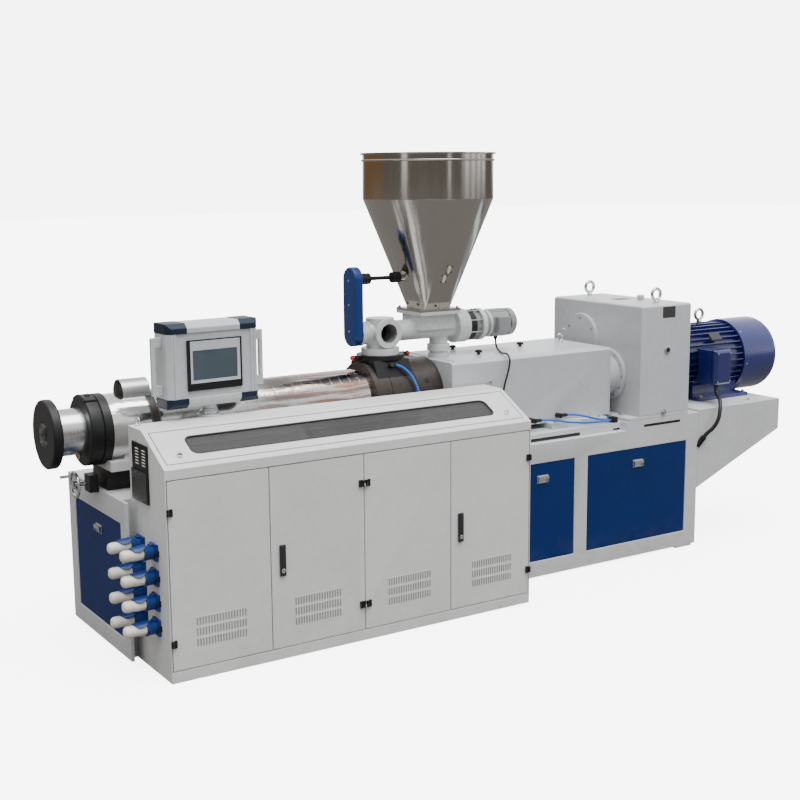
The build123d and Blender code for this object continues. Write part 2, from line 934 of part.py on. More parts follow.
# Operator screen: case, corner caps, plate, display and side handles, square to its own face
turn = radians(screen_turn)
screen_front = Plane(
    origin=(
        screen_x + screen_depth / 2 * sin(turn),
        screen_axis_y - screen_depth / 2 * cos(turn),
        screen_center_height,
    ),
    x_dir=(cos(turn), sin(turn), 0),
    z_dir=(sin(turn), -cos(turn), 0),
)
with BuildPart() as screen_case:
    with BuildSketch(screen_front) as case_face:
        Rectangle(screen_width, screen_height)
    extrude(case_face.sketch, amount=-screen_depth)
    front_rim = screen_case.edges().filter_by_position(
        Axis(screen_front.origin, screen_front.z_dir), -seat_gap, seat_gap
    )
    chamfer(front_rim, screen_bevel)
    with BuildSketch(screen_front) as plate_pocket:
        Rectangle(screen_plate_width, screen_plate_height)
    extrude(plate_pocket.sketch, amount=-screen_plate_recess, mode=Mode.SUBTRACT)
    round_z(
        screen_x,
        screen_axis_y,
        post_top + seat_gap,
        screen_center_height - screen_height / 2 - post_top,
        swivel_radius,
    )
write_part(screen_case, "screen_case")

with BuildPart() as screen_bezel:
    with BuildSketch(screen_front.offset(-screen_plate_recess)) as bezel_face:
        Rectangle(bezel_width, bezel_height)
    extrude(bezel_face.sketch, amount=bezel_depth)
    with BuildSketch(screen_front.offset(bezel_depth - screen_plate_recess)) as display_face:
        Rectangle(display_width, display_height)
    extrude(display_face.sketch, amount=-display_depth, mode=Mode.SUBTRACT)
write_part(screen_bezel, "screen_bezel")

with BuildPart() as screen_handles:
    middle = screen_front.offset(-screen_depth / 2)
    for side in (-1, 1):
        inner = side * screen_width / 2
        outer = inner + side * handle_reach
        with BuildSketch(middle) as grip:
            with Locations(((inner + outer) / 2, 0)):
                Rectangle(handle_reach, handle_length)
            with Locations(((inner + outer) / 2 - side * handle_bar / 2, 0)):
                Rectangle(
                    handle_reach - handle_bar, handle_length - 2 * handle_arm, mode=Mode.SUBTRACT
                )
        extrude(grip.sketch, amount=handle_bar / 2, both=True)
write_part(screen_handles, "screen_handles")

# Barrel line about its axis
die_face = frame_left - die_reach
neck_x = die_face + die_flange_length
collar_x = neck_x + neck_length
with BuildPart() as die_flange:
    round_x(die_face, die_flange_length, 0, axis_height, die_flange_radius)
    chamfer(die_flange.edges().filter_by(GeomType.CIRCLE), die_flange_chamfer)
    round_x(
        die_face - overrun,
        die_flange_length + 2 * overrun,
        0,
        axis_height,
        die_bore_radius,
        mode=Mode.SUBTRACT,
    )
write_part(die_flange, "die_flange")

with BuildPart() as die_neck:
    ring_x(neck_x, neck_length, 0, axis_height, neck_radius, neck_bore_radius)
write_part(die_neck, "die_neck")

with BuildPart() as clamp_collar:
    round_x(collar_x, collar_length, 0, axis_height, collar_radius)
    chamfer(clamp_collar.edges().filter_by(GeomType.CIRCLE), collar_chamfer)
    round_x(collar_x + collar_length, ring_length, 0, axis_height, ring_radius)
    round_x(
        collar_x - overrun,
        collar_length + ring_length + 2 * overrun,
        0,
        axis_height,
        neck_bore_radius,
        mode=Mode.SUBTRACT,
    )
write_part(clamp_collar, "clamp_collar")

# Barrel in its heater casing, and the bright sheet round it in two lengths with a gap between
shroud_start = collar_x + collar_length + ring_length
with BuildPart() as barrel:
    round_x(
        shroud_start,
        frame_left + rear_shroud_end - shroud_start,
        0,
        axis_height,
        barrel_radius,
    )
write_part(barrel, "barrel")

with BuildPart() as barrel_shroud:
    for start, stop in (
        (shroud_start, frame_left + front_shroud_end),
        (frame_left + gap_band_end, frame_left + rear_shroud_end),
    ):
        with BuildSketch(Plane.YZ.offset(start)) as sleeve:
            with Locations((0, axis_height)):
                Circle(shroud_radius)
                Circle(barrel_radius + seat_gap, mode=Mode.SUBTRACT)
        extrude(sleeve.sketch, amount=stop - start)
write_part(barrel_shroud, "barrel_shroud")

with BuildPart() as feed_drum:
    drum_x = frame_left + rear_shroud_end
    round_x(drum_x, frame_left + drum_end - drum_x, 0, axis_height, drum_radius)
write_part(feed_drum, "feed_drum")

with BuildPart() as cable_bridge:
    bridge_x = frame_left + bridge_station
    with BuildSketch(Plane.YZ.offset(bridge_x)) as arch:
        with Locations((0, bridge_center_height)):
            Circle(bridge_radius)
            Circle(bridge_radius - shroud_sheet, mode=Mode.SUBTRACT)
    extrude(arch.sketch, amount=bridge_length)
    round_x(
        bridge_x - overrun,
        bridge_length + 2 * overrun,
        0,
        axis_height,
        shroud_radius + seat_gap,
        mode=Mode.SUBTRACT,
    )
write_part(cable_bridge, "cable_bridge")

# Slide under the barrel's front end, with the screw block on the frame's end
slide_x = frame_left + slide_station
block_bottom = wheel_shaft_height - bearing_block_height / 2
with BuildPart() as slide_blocks:
    block(
        (slide_x, slide_x + slide_length),
        (-slide_half_width, slide_half_width),
        (deck_height, slide_top),
    )
    block(
        (frame_left - bearing_block_depth, frame_left),
        (-bearing_block_half_width, bearing_block_half_width),
        (block_bottom, block_bottom + bearing_block_height),
    )
    round_x(
        frame_left - bearing_block_depth - overrun,
        bearing_block_depth + 2 * overrun,
        0,
        wheel_shaft_height,
        wheel_shaft_radius + shaft_gap,
        mode=Mode.SUBTRACT,
    )
write_part(slide_blocks, "slide_blocks")

with BuildPart() as barrel_saddle:
    block(
        (slide_x, slide_x + saddle_length),
        (-saddle_half_width, saddle_half_width),
        (slide_top, slide_top + saddle_thickness),
    )
    cradle_x = shroud_start + cradle_length
    block(
        (cradle_x, cradle_x + cradle_length),
        (-cradle_half_width, cradle_half_width),
        (slide_top + saddle_thickness, axis_height),
    )
    round_x(
        slide_x - overrun,
        saddle_length + 2 * overrun,
        0,
        axis_height,
        shroud_radius + seat_gap,
        mode=Mode.SUBTRACT,
    )
    round_x(
        slide_x - overrun,
        shroud_start - slide_x + overrun + seat_gap,
        0,
        axis_height,
        ring_radius + seat_gap,
        mode=Mode.SUBTRACT,
    )
write_part(barrel_saddle, "barrel_saddle")

# Hand wheel, whose shaft runs through the block on the frame's end
wheel_x = frame_left - wheel_reach
with BuildPart() as hand_wheel:
    with BuildSketch(Plane.XZ) as rim_section:
        with Locations((wheel_x, wheel_shaft_height + wheel_radius - wheel_rim_radius)):
            Circle(wheel_rim_radius)
    revolve(rim_section.sketch, axis=Axis((0, 0, wheel_shaft_height), (1, 0, 0)))
    round_x(
        wheel_x - wheel_hub_length / 2, wheel_hub_length, 0, wheel_shaft_height, wheel_hub_radius
    )
    with BuildSketch(Plane.YZ.offset(wheel_x - wheel_spoke_thickness / 2)) as spokes:
        with Locations((0, wheel_shaft_height)):
            with PolarLocations(wheel_radius / 2, wheel_spokes, start_angle=90):
                Rectangle(wheel_radius - 2 * wheel_rim_radius, wheel_spoke_width)
    extrude(spokes.sketch, amount=wheel_spoke_thickness)
    round_x(wheel_x, slide_x - wheel_x - seat_gap, 0, wheel_shaft_height, wheel_shaft_radius)
    crank_r = wheel_radius - wheel_rim_radius
    round_x(
        wheel_x - crank_length,
        crank_length,
        crank_r * -cos(radians(crank_angle)),
        wheel_shaft_height + crank_r * sin(radians(crank_angle)),
        crank_radius,
    )
write_part(hand_wheel, "hand_wheel")

# Saddle block over the drum at the feed throat, and the clamp plate with its two knobs
clamp_bottom = saddle_block_top
with BuildPart() as throat_saddle:
    with BuildSketch(Plane.YZ.offset(throat_x - saddle_block_length / 2)) as saddle_face:
        with BuildLine():
            Polyline(
                (-saddle_block_half_width, saddle_block_top),
                (saddle_block_half_width, saddle_block_top),
                (saddle_block_skirt_y, saddle_block_skirt_z),
                (-saddle_block_skirt_y, saddle_block_skirt_z),
                close=True,
            )
        make_face()
    extrude(saddle_face.sketch, amount=saddle_block_length)
    round_x(
        throat_x - saddle_block_length,
        2 * saddle_block_length,
        0,
        axis_height,
        drum_radius + seat_gap,
        mode=Mode.SUBTRACT,
    )
    round_z(throat_x, 0, clamp_bottom, clamp_plate_thickness, clamp_plate_radius)
    block(
        (throat_x - clamp_knob_reach, throat_x + clamp_knob_reach),
        (-clamp_knob_radius, clamp_knob_radius),
        (clamp_bottom, clamp_bottom + clamp_plate_thickness),
    )
write_part(throat_saddle, "throat_saddle")

knob_z = clamp_bottom + clamp_plate_thickness / 2
with BuildPart() as clamp_knobs:
    for side in (-1, 1):
        arm_end = throat_x + side * clamp_knob_reach
        center = arm_end + side * clamp_knob_radius
        with BuildSketch(Plane.XZ) as knob_half:
            with Locations((center, knob_z)):
                Circle(clamp_knob_radius)
            with Locations(((arm_end + center) / 2, knob_z)):
                Rectangle(clamp_knob_radius, 2 * clamp_knob_stem)
            with Locations((center, knob_z - clamp_knob_radius)):
                Rectangle(4 * clamp_knob_radius, 2 * clamp_knob_radius, mode=Mode.SUBTRACT)
        revolve(knob_half.sketch, axis=Axis((0, 0, knob_z), (1, 0, 0)))
write_part(clamp_knobs, "clamp_knobs")

# Feeder elbow over the throat, with the round port that faces the operator
elbow_bottom = clamp_bottom + clamp_plate_thickness
screw_hub_x = frame_left + guard_station + guard_depth
with BuildPart() as feeder_elbow:
    round_z(throat_x, 0, elbow_bottom, elbow_flange_height, elbow_flange_radius)
    round_z(throat_x, 0, elbow_bottom, elbow_top - elbow_bottom, elbow_radius)
    hub_overlap = elbow_radius / 2
    round_x(
        screw_hub_x,
        throat_x - hub_overlap - screw_hub_x,
        0,
        feeder_height,
        screw_hub_radius,
    )
    with BuildSketch(Plane.XZ.offset(hub_overlap)) as port_tube:
        with Locations((throat_x, feeder_height)):
            Circle(port_tube_radius)
    extrude(port_tube.sketch, amount=port_reach - hub_overlap)
    with BuildSketch(Plane.XZ.offset(port_reach - port_flange_thickness)) as port_flange:
        with Locations((throat_x, feeder_height)):
            Circle(port_flange_radius)
    extrude(port_flange.sketch, amount=port_flange_thickness)
    with BuildSketch(Plane.XZ.offset(port_reach + overrun)) as port_bore:
        with Locations((throat_x, feeder_height)):
            Circle(port_radius)
    extrude(port_bore.sketch, amount=-(port_depth + overrun), mode=Mode.SUBTRACT)
write_part(feeder_elbow, "feeder_elbow")

# Feeder housing: screw tube, neck under the hopper, bell and support leg in one casting
tube_x = throat_x + elbow_radius
flange_top = feeder_flange_bottom + feeder_flange_thickness
with BuildPart() as feeder_housing:
    round_x(tube_x, frame_left + tube_end - tube_x, 0, feeder_height, tube_radius)
    round_x(
        frame_left + tube_end - lantern_length / 2,
        frame_left + bell_end - frame_left - tube_end + lantern_length / 2,
        0,
        feeder_height,
        bell_radius,
    )
    block(
        (hopper_x - neck_box_length / 2, hopper_x + neck_box_length / 2),
        (-neck_box_width / 2, neck_box_width / 2),
        (feeder_height, feeder_flange_bottom),
    )
    block(
        (hopper_x - feeder_flange_length / 2, hopper_x + feeder_flange_length / 2),
        (-feeder_flange_width / 2, feeder_flange_width / 2),
        (feeder_flange_bottom, flange_top),
    )
    leg_x = frame_left + leg_station
    cover_top = housing_top + cover_thickness
    round_z(leg_x, 0, cover_top, feeder_height - cover_top, leg_radius)
    round_z(leg_x, 0, cover_top + leg_collar_rise, leg_collar_height, leg_collar_radius)
    round_z(leg_x, 0, cover_top, leg_foot_height, leg_foot_radius)
    throat_half = hopper_outlet / 2 - hopper_sheet
    block(
        (hopper_x - throat_half, hopper_x + throat_half),
        (-throat_half + hopper_sheet, throat_half - hopper_sheet),
        (feeder_height, flange_top + overrun),
        mode=Mode.SUBTRACT,
    )
write_part(feeder_housing, "feeder_housing")

# Drive of the metering screw: lantern, reducer, motor and its rear cap
lantern_x = frame_left + bell_end
reducer_x = lantern_x + lantern_length
feed_motor_x = reducer_x + reducer_length
feed_cap_x = feed_motor_x + feed_motor_length + feed_motor_seam
with BuildPart() as feeder_lantern:
    round_x(lantern_x, lantern_length, 0, feeder_height, lantern_radius)
write_part(feeder_lantern, "feeder_lantern")
with BuildPart() as feeder_gearmotor:
    round_x(reducer_x, reducer_length, 0, feeder_height, reducer_radius)
    round_x(feed_motor_x, feed_motor_length, 0, feeder_height, feed_motor_radius)
    round_x(
        feed_motor_x + feed_motor_length,
        feed_motor_seam,
        0,
        feeder_height,
        feed_motor_radius - feed_motor_seam,
    )
    round_x(feed_cap_x, feed_motor_cap_length, 0, feeder_height, feed_motor_radius)
    chamfer(
        feeder_gearmotor.edges().filter_by(GeomType.CIRCLE).sort_by(Axis.X)[-1],
        2 * feed_motor_seam,
    )
write_part(feeder_gearmotor, "feeder_gearmotor")

# Chain guard between the metering screw and the agitator
guard_x = frame_left + guard_station
with BuildPart() as chain_guard:
    with BuildSketch(Plane.YZ.offset(guard_x)) as guard_face:
        with Locations(Location((0, (feeder_height + guard_upper_height) / 2), 90)):
            SlotCenterToCenter(guard_upper_height - feeder_height, 2 * guard_radius)
    extrude(guard_face.sketch, amount=guard_depth)
    fillet(
        chain_guard.edges().filter_by(GeomType.CIRCLE).group_by(Axis.X)[0], hopper_corner_radius
    )
write_part(chain_guard, "chain_guard")

# Agitator: drive hub, shaft, boot and the paddles inside the hopper
cone_share = (guard_upper_height - hopper_bottom) / (hopper_drum_bottom - hopper_bottom)
cone_half = hopper_outlet / 2 + (hopper_radius - hopper_outlet / 2) * cone_share
cone_wall_x = hopper_x - cone_half
with BuildPart() as agitator:
    hub_x = guard_x + guard_depth + seat_gap
    round_x(hub_x, agitator_hub_length, 0, guard_upper_height, agitator_hub_radius)
    boot_x = cone_wall_x - agitator_boss_radius - seat_gap - agitator_boot_length
    round_x(boot_x, agitator_boot_length, 0, guard_upper_height, agitator_boot_radius)
    round_x(
        hub_x,
        hopper_x + agitator_reach - hub_x,
        0,
        guard_upper_height,
        agitator_radius,
    )
    block(
        (hopper_x - paddle_width / 2, hopper_x + paddle_width / 2),
        (-paddle_thickness / 2, paddle_thickness / 2),
        (guard_upper_height - paddle_span / 2, guard_upper_height + paddle_span / 2),
    )
    block(
        (hopper_x + agitator_reach - paddle_width, hopper_x + agitator_reach),
        (-paddle_span / 2, paddle_span / 2),
        (guard_upper_height - paddle_thickness / 2, guard_upper_height + paddle_thickness / 2),
    )
write_part(agitator, "agitator")

# Hopper drum, its rim and bead
with BuildPart() as hopper_drum:
    with BuildSketch(Plane.XY.offset(hopper_drum_bottom)) as drum_ring:
        with Locations((hopper_x, 0)):
            Circle(hopper_radius)
            Circle(hopper_radius - hopper_sheet, mode=Mode.SUBTRACT)
    extrude(drum_ring.sketch, amount=hopper_top - hopper_drum_bottom)
    with BuildSketch(Plane.XY.offset(hopper_top - hopper_rim_height)) as rim_ring:
        with Locations((hopper_x, 0)):
            Circle(hopper_radius + hopper_rim_width)
            Circle(hopper_radius - hopper_sheet, mode=Mode.SUBTRACT)
    extrude(rim_ring.sketch, amount=hopper_rim_height)
write_part(hopper_drum, "hopper_drum")

# Round-to-square transition, with the boss that takes the agitator shaft
outer_top = 2 * hopper_radius
flat = hopper_radius * hopper_flat_share
with BuildPart() as hopper_cone:
    for inset, mode in ((0, Mode.ADD), (2 * hopper_sheet, Mode.SUBTRACT)):
        with BuildSketch(Plane.XY.offset(hopper_drum_bottom)) as upper:
            with Locations((hopper_x, 0)):
                RectangleRounded(
                    outer_top - inset, outer_top - inset, hopper_radius - inset / 2 - flat
                )
        with BuildSketch(Plane.XY.offset(hopper_bottom)) as lower:
            with Locations((hopper_x, 0)):
                RectangleRounded(
                    hopper_outlet - inset, hopper_outlet - inset, hopper_corner_radius - inset / 2
                )
        loft([upper.sketch, lower.sketch], ruled=True, mode=mode)
    round_x(
        cone_wall_x - agitator_boss_radius,
        2 * agitator_boss_radius,
        0,
        guard_upper_height,
        agitator_boss_radius,
    )
    round_x(
        cone_wall_x - 2 * agitator_boss_radius,
        4 * agitator_boss_radius,
        0,
        guard_upper_height,
        agitator_radius + shaft_gap,
        mode=Mode.SUBTRACT,
    )
    with BuildSketch(Plane.XY.offset(hopper_bottom - hopper_flange_thickness)) as flange_face:
        with Locations((hopper_x, 0)):
            Rectangle(feeder_flange_length, feeder_flange_width)
            Rectangle(
                hopper_outlet - 2 * hopper_sheet,
                hopper_outlet - 2 * hopper_sheet,
                mode=Mode.SUBTRACT,
            )
    extrude(flange_face.sketch, amount=hopper_flange_thickness)
write_part(hopper_cone, "hopper_cone")

# Plinth on the frame's deck, and the thrust housing with its feet and cover knobs
plinth_x = frame_left + plinth_station
with BuildPart() as mounting_plinths:
    block(
        (plinth_x, frame_right - raised_deck_length),
        (-plinth_half_width, plinth_half_width),
        (deck_height, plinth_top),
    )
    block(
        (plinth_x - overrun, recess_right),
        (-plinth_half_width - overrun, cabinet_back_y + panel_gap),
        (deck_height - overrun, plinth_top + overrun),
        mode=Mode.SUBTRACT,
    )
    block(
        (frame_left + gearbox_foot_station, gearbox_right),
        (-frame_half_width, frame_half_width),
        (raised_deck_height, gearbox_bottom),
    )
write_part(mounting_plinths, "mounting_plinths")

housing_x = frame_left + drum_end
with BuildPart() as thrust_housing:
    block(
        (housing_x, frame_left + housing_end),
        (-housing_half_width, housing_half_width),
        (housing_bottom, housing_top),
    )
    chamfer(thrust_housing.edges().filter_by(Axis.X).group_by(Axis.Z)[-1], housing_edge)
    for start, stop in (housing_foot_front, housing_foot_rear):
        block(
            (frame_left + start, frame_left + stop),
            (-housing_foot_half_width, housing_foot_half_width),
            (plinth_top, housing_bottom),
        )
    block(
        (housing_x + cover_margin, frame_left + housing_end - cover_margin),
        (-housing_half_width + cover_margin, housing_half_width - cover_margin),
        (housing_top, housing_top + cover_thickness),
    )
write_part(thrust_housing, "thrust_housing")

# Oil caps: three on the thrust housing's cover and a breather on the gearbox
with BuildPart() as oil_caps:
    for station, y in knob_places:
        x = frame_left + station
        round_z(x, y, cover_top, knob_stem_height, knob_stem_radius)
        round_z(x, y, cover_top + knob_stem_height, knob_height, knob_radius)
    round_z(
        frame_left + breather_places[0],
        breather_places[1],
        gearbox_top,
        breather_height,
        breather_radius,
    )
write_part(oil_caps, "oil_caps")

# Coupling tube between the thrust housing and the gearbox
coupling_x = frame_left + housing_end
with BuildPart() as coupling_tube:
    round_x(coupling_x, gearbox_x - coupling_x, coupling_y, coupling_height, coupling_radius)
    round_x(
        gearbox_x - coupling_flange_thickness,
        coupling_flange_thickness,
        coupling_y,
        coupling_height,
        coupling_flange_radius,
    )
write_part(coupling_tube, "coupling_tube")

# Gearbox with the bearing cover on its face
with BuildPart() as gearbox:
    block(
        (gearbox_x, gearbox_right),
        (gearbox_front_y, gearbox_back_y),
        (gearbox_bottom, gearbox_top),
    )
    chamfer(gearbox.edges().group_by(Axis.Z)[-1], gearbox_edge)
    round_x(
        gearbox_x - bearing_cover_thickness,
        bearing_cover_thickness,
        bearing_cover_y,
        bearing_cover_height,
        bearing_cover_radius,
    )
write_part(gearbox, "gearbox")

# Lifting eyes on the housing, the gearbox and the motor
eye_places = (
    (*housing_eye_place, housing_top + cover_thickness, small_eye_share),
    (*gearbox_eye_rear_place, gearbox_top, 1),
    (*gearbox_eye_front_place, gearbox_top, 1),
    (motor_eye_station, 0, motor_axis_height + motor_fin_radius, 1),
)
with BuildPart() as lifting_eyes:
    for station, y, z, eye_share in eye_places:
        stem_height = eye_stem_height * eye_share
        ring_radius = (eye_outer_radius - eye_wire_radius) * eye_share
        round_z(frame_left + station, y, z, stem_height, eye_stem_radius * eye_share)
        ring_center = (frame_left + station, y, z + stem_height + ring_radius)
        with Locations(Location(ring_center, (90, 0, 0))):
            Torus(ring_radius, eye_wire_radius * eye_share)
write_part(lifting_eyes, "lifting_eyes")

# Tapered bracket that carries the motor beyond the frame
with BuildPart() as motor_bracket:
    with BuildSketch(Plane.XZ.offset(-frame_half_width)) as bracket_side:
        with BuildLine():
            Polyline(
                (frame_right, bracket_root_bottom),
                (frame_right, bracket_top),
                (frame_right + bracket_length, bracket_top),
                (frame_right + bracket_length, bracket_tip_bottom),
                close=True,
            )
        make_face()
    extrude(bracket_side.sketch, amount=2 * frame_half_width)
write_part(motor_bracket, "motor_bracket")

# Main motor: finned frame on feet, fan cowl, coupling cover and terminal box
motor_x = frame_left + motor_station
cowl_x = frame_left + motor_cowl_station
with BuildPart() as motor_frame:
    round_x(gearbox_right, motor_x - gearbox_right, 0, motor_axis_height, motor_shaft_radius)
    round_x(motor_x, cowl_x - motor_x, 0, motor_axis_height, motor_core_radius)
    round_x(motor_x, motor_shield_length, 0, motor_axis_height, motor_fin_radius)
    with BuildSketch(Plane.YZ.offset(motor_x + motor_shield_length)) as fin_face:
        with Locations((0, motor_axis_height)):
            with PolarLocations(motor_fin_radius - motor_fin_length / 2, motor_fins):
                Rectangle(motor_fin_length, motor_fin_width)
    extrude(fin_face.sketch, amount=cowl_x - motor_x - motor_shield_length)
    for side in (-1, 1):
        outer = side * motor_foot_half_width
        block(
            (frame_left + motor_foot_start, frame_left + motor_foot_end),
            (outer, outer - side * 2 * motor_foot_web),
            (bracket_top, bracket_top + motor_foot_height),
        )
        block(
            (frame_left + motor_foot_start, cowl_x),
            (outer - side * motor_foot_web, outer - side * 2 * motor_foot_web),
            (bracket_top, motor_axis_height - motor_core_radius / 2),
        )
write_part(motor_frame, "motor_frame")

with BuildPart() as motor_cowl:
    round_x(
        cowl_x,
        frame_left + motor_end - cowl_x,
        0,
        motor_axis_height,
        motor_cowl_radius,
    )
    fillet(
        motor_cowl.edges().filter_by(GeomType.CIRCLE).sort_by(Axis.X)[-1], motor_cowl_edge
    )
    block(
        (cowl_x - overrun, frame_left + motor_foot_end + panel_gap),
        (-motor_cowl_radius, motor_cowl_radius),
        (bracket_top, bracket_top + motor_foot_height + panel_gap),
        mode=Mode.SUBTRACT,
    )
write_part(motor_cowl, "motor_cowl")

with BuildPart() as terminal_box:
    block(
        (frame_left + terminal_start, frame_left + terminal_end),
        (-terminal_depth, -motor_core_radius),
        (terminal_bottom, terminal_top),
    )
    chamfer(terminal_box.faces().sort_by(Axis.Y)[0].edges(), terminal_edge)
    round_x(
        motor_x,
        cowl_x - motor_x,
        0,
        motor_axis_height,
        motor_fin_radius + seat_gap,
        mode=Mode.SUBTRACT,
    )
write_part(terminal_box, "terminal_box")

# Ends of the hoses and cables, and the routes between them
hose_front_ends = (
    (
        frame_left + fitting_front[0] + fitting_length,
        fitting_front[1],
        housing_bottom + fitting_front[2],
    ),
    (
        frame_left + manifold_station - manifold_port_length,
        manifold_port_y[0],
        plinth_top + manifold_port_rise,
    ),
)
hose_rear_ends = (
    (
        frame_left + fitting_rear[0] + fitting_length,
        fitting_rear[1],
        housing_bottom + fitting_rear[2],
    ),
    (
        frame_left + manifold_station - manifold_port_length,
        manifold_port_y[1],
        plinth_top + manifold_port_rise,
    ),
)
motor_cable_ends = (
    (
        frame_left + motor_gland_place[0],
        motor_gland_place[1],
        terminal_bottom - motor_gland_length,
    ),
    (
        frame_left + motor_cable_end[0],
        -frame_half_width + motor_cable_end[1],
        bracket_top + motor_cable_end[2],
    ),
)
feeder_cable_ends = (
    (
        frame_left + feeder_gland_station,
        0,
        feeder_height - feed_motor_radius - feeder_gland_length,
    ),
    (
        frame_left + feeder_cable_end[0],
        feeder_cable_end[1],
        plinth_top + feeder_post_height,
    ),
)
skirt_slope = (saddle_block_skirt_y - saddle_block_half_width) / (
    saddle_block_rise - saddle_block_skirt_rise
)
boss_y = -saddle_block_half_width - throat_fitting_drop * skirt_slope
boss_z = saddle_block_top - throat_fitting_drop
boss_out = (0, -1 / hypot(1, skirt_slope), skirt_slope / hypot(1, skirt_slope))
nipple_y = boss_y + throat_boss_reach * boss_out[1]
nipple_z = boss_z + throat_boss_reach * boss_out[2]
throat_hose_ends = (
    (throat_x + throat_fitting_offset + throat_nipple_length, nipple_y, nipple_z),
    (frame_left + throat_hose_end[0], throat_hose_end[1], deck_height + throat_post_height),
)


def route(ends, shares, bends):
    """Points from one end to the other, each moved away from the straight line."""
    points = [ends[0]]
    for share, bend in zip(shares, bends):
        points.append(tuple(a + share * (b - a) + c for a, b, c in zip(*ends, bend)))
    return points + [ends[1]]


def bend_radii(points):
    """The radius at each corner that its two runs allow."""
    steps = [Vector(*b) - Vector(*a) for a, b in zip(points, points[1:])]
    radii = []
    for before, after in zip(steps, steps[1:]):
        half_turn = radians(before.get_angle(after)) / 2
        radii.append(cord_run_share * min(before.length, after.length) / tan(half_turn))
    return radii


cord_plans = (
    ("hose_front", hose_front_ends, hose_front_shares, hose_front_bends, hose_diameter),
    ("hose_rear", hose_rear_ends, hose_rear_shares, hose_rear_bends, hose_diameter),
    (
        "motor_cable",
        motor_cable_ends,
        motor_cable_shares,
        motor_cable_bends,
        motor_cable_diameter,
    ),
    (
        "feeder_cable",
        feeder_cable_ends,
        feeder_cable_shares,
        feeder_cable_bends,
        feeder_cable_diameter,
    ),
    (
        "throat_hose",
        throat_hose_ends,
        throat_hose_shares,
        throat_hose_bends,
        throat_hose_diameter,
    ),
)
cord_ends = {}
for node, ends, shares, bends, diameter in cord_plans:
    points = route(ends, shares, bends)
    cord_ends[node] = ((points[0], points[1]), (points[-1], points[-2]))
    radii = bend_radii(points)
    with BuildPart() as cord:
        with BuildLine():
            cord_path = FilletPolyline(*points, radius=radii)
        with BuildSketch(Plane(origin=cord_path @ 0, z_dir=cord_path % 0)) as cord_section:
            Circle(diameter / 2)
        sweep(cord_section.sketch, path=cord_path)
    write_part(cord, node)
    section_area = cord_section.sketch.area
    print(node, "length", round(cord_path.length), "radii", [round(r) for r in radii])
    print(node, "volume over length", round(cord.part.volume / section_area))

# Elbows, manifold, glands and posts that hold the ends of the hoses and cables. Each ends in
# a ferrule that is square to its hose or cable
ferrule_plans = (
    ("hose_front", slim_ferrule_radius),
    ("hose_rear", slim_ferrule_radius),
    ("motor_cable", motor_ferrule_radius),
    ("feeder_cable", slim_ferrule_radius),
    ("throat_hose", throat_ferrule_radius),
)
with BuildPart() as hose_fittings:
    for station, y, rise in (fitting_front, fitting_rear):
        x = frame_left + station
        z = housing_bottom + rise
        boss_length = abs(y) + fitting_radius - housing_half_width
        round_y(x, -housing_half_width, boss_length, z, fitting_boss_radius)
        round_x(x, fitting_length - ferrule_inset, y, z, fitting_radius)
    manifold_x = frame_left + manifold_station
    block(
        (manifold_x, manifold_x + manifold_length),
        manifold_y,
        (plinth_top, plinth_top + manifold_height),
    )
    for y in manifold_port_y:
        round_x(
            manifold_x - manifold_port_length + ferrule_inset,
            manifold_port_length,
            y,
            plinth_top + manifold_port_rise,
            manifold_port_radius,
        )
    x, y, z = motor_cable_ends[0]
    round_z(x, y, z + ferrule_inset, motor_gland_length - ferrule_inset, motor_gland_radius)
    x, y, z = feeder_cable_ends[0]
    round_z(x, y, z + ferrule_inset, 2 * feeder_gland_length, feeder_gland_radius)
    round_x(
        feed_motor_x,
        feed_motor_length,
        0,
        feeder_height,
        feed_motor_radius + seat_gap,
        mode=Mode.SUBTRACT,
    )
    x, y, z = feeder_cable_ends[1]
    round_z(x, y, plinth_top, feeder_post_height - ferrule_inset, feeder_gland_radius)
    x = throat_x + throat_fitting_offset
    boss_length = throat_boss_reach + throat_nipple_radius
    peg((x, boss_y, boss_z), boss_out, boss_length, throat_boss_radius)
    round_x(x, throat_nipple_length - ferrule_inset, nipple_y, nipple_z, throat_nipple_radius)
    x, y, z = throat_hose_ends[1]
    round_z(x, y, deck_height, throat_post_height - ferrule_inset, throat_post_radius)
    for node, radius in ferrule_plans:
        for end, inner in cord_ends[node]:
            peg(end, Vector(*end) - Vector(*inner), ferrule_length, radius)
    cable_end, cable_inner = cord_ends["motor_cable"][1]
    gland_length = abs(motor_cable_end[1]) + 2 * motor_gland_radius + motor_gland_length
    last_run = Vector(*cable_end) - Vector(*cable_inner)
    peg(cable_end, last_run, gland_length, motor_gland_radius)
    block(
        (cable_end[0] - gland_length, cable_end[0] + gland_length),
        (-frame_half_width, -frame_half_width + gland_length),
        (cable_end[2] - 2 * gland_length, cable_end[2]),
        mode=Mode.SUBTRACT,
    )
write_part(hose_fittings, "hose_fittings")
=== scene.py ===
from math import cos, pi, radians, sin

import bmesh
import bpy
from mathutils import Matrix, Vector


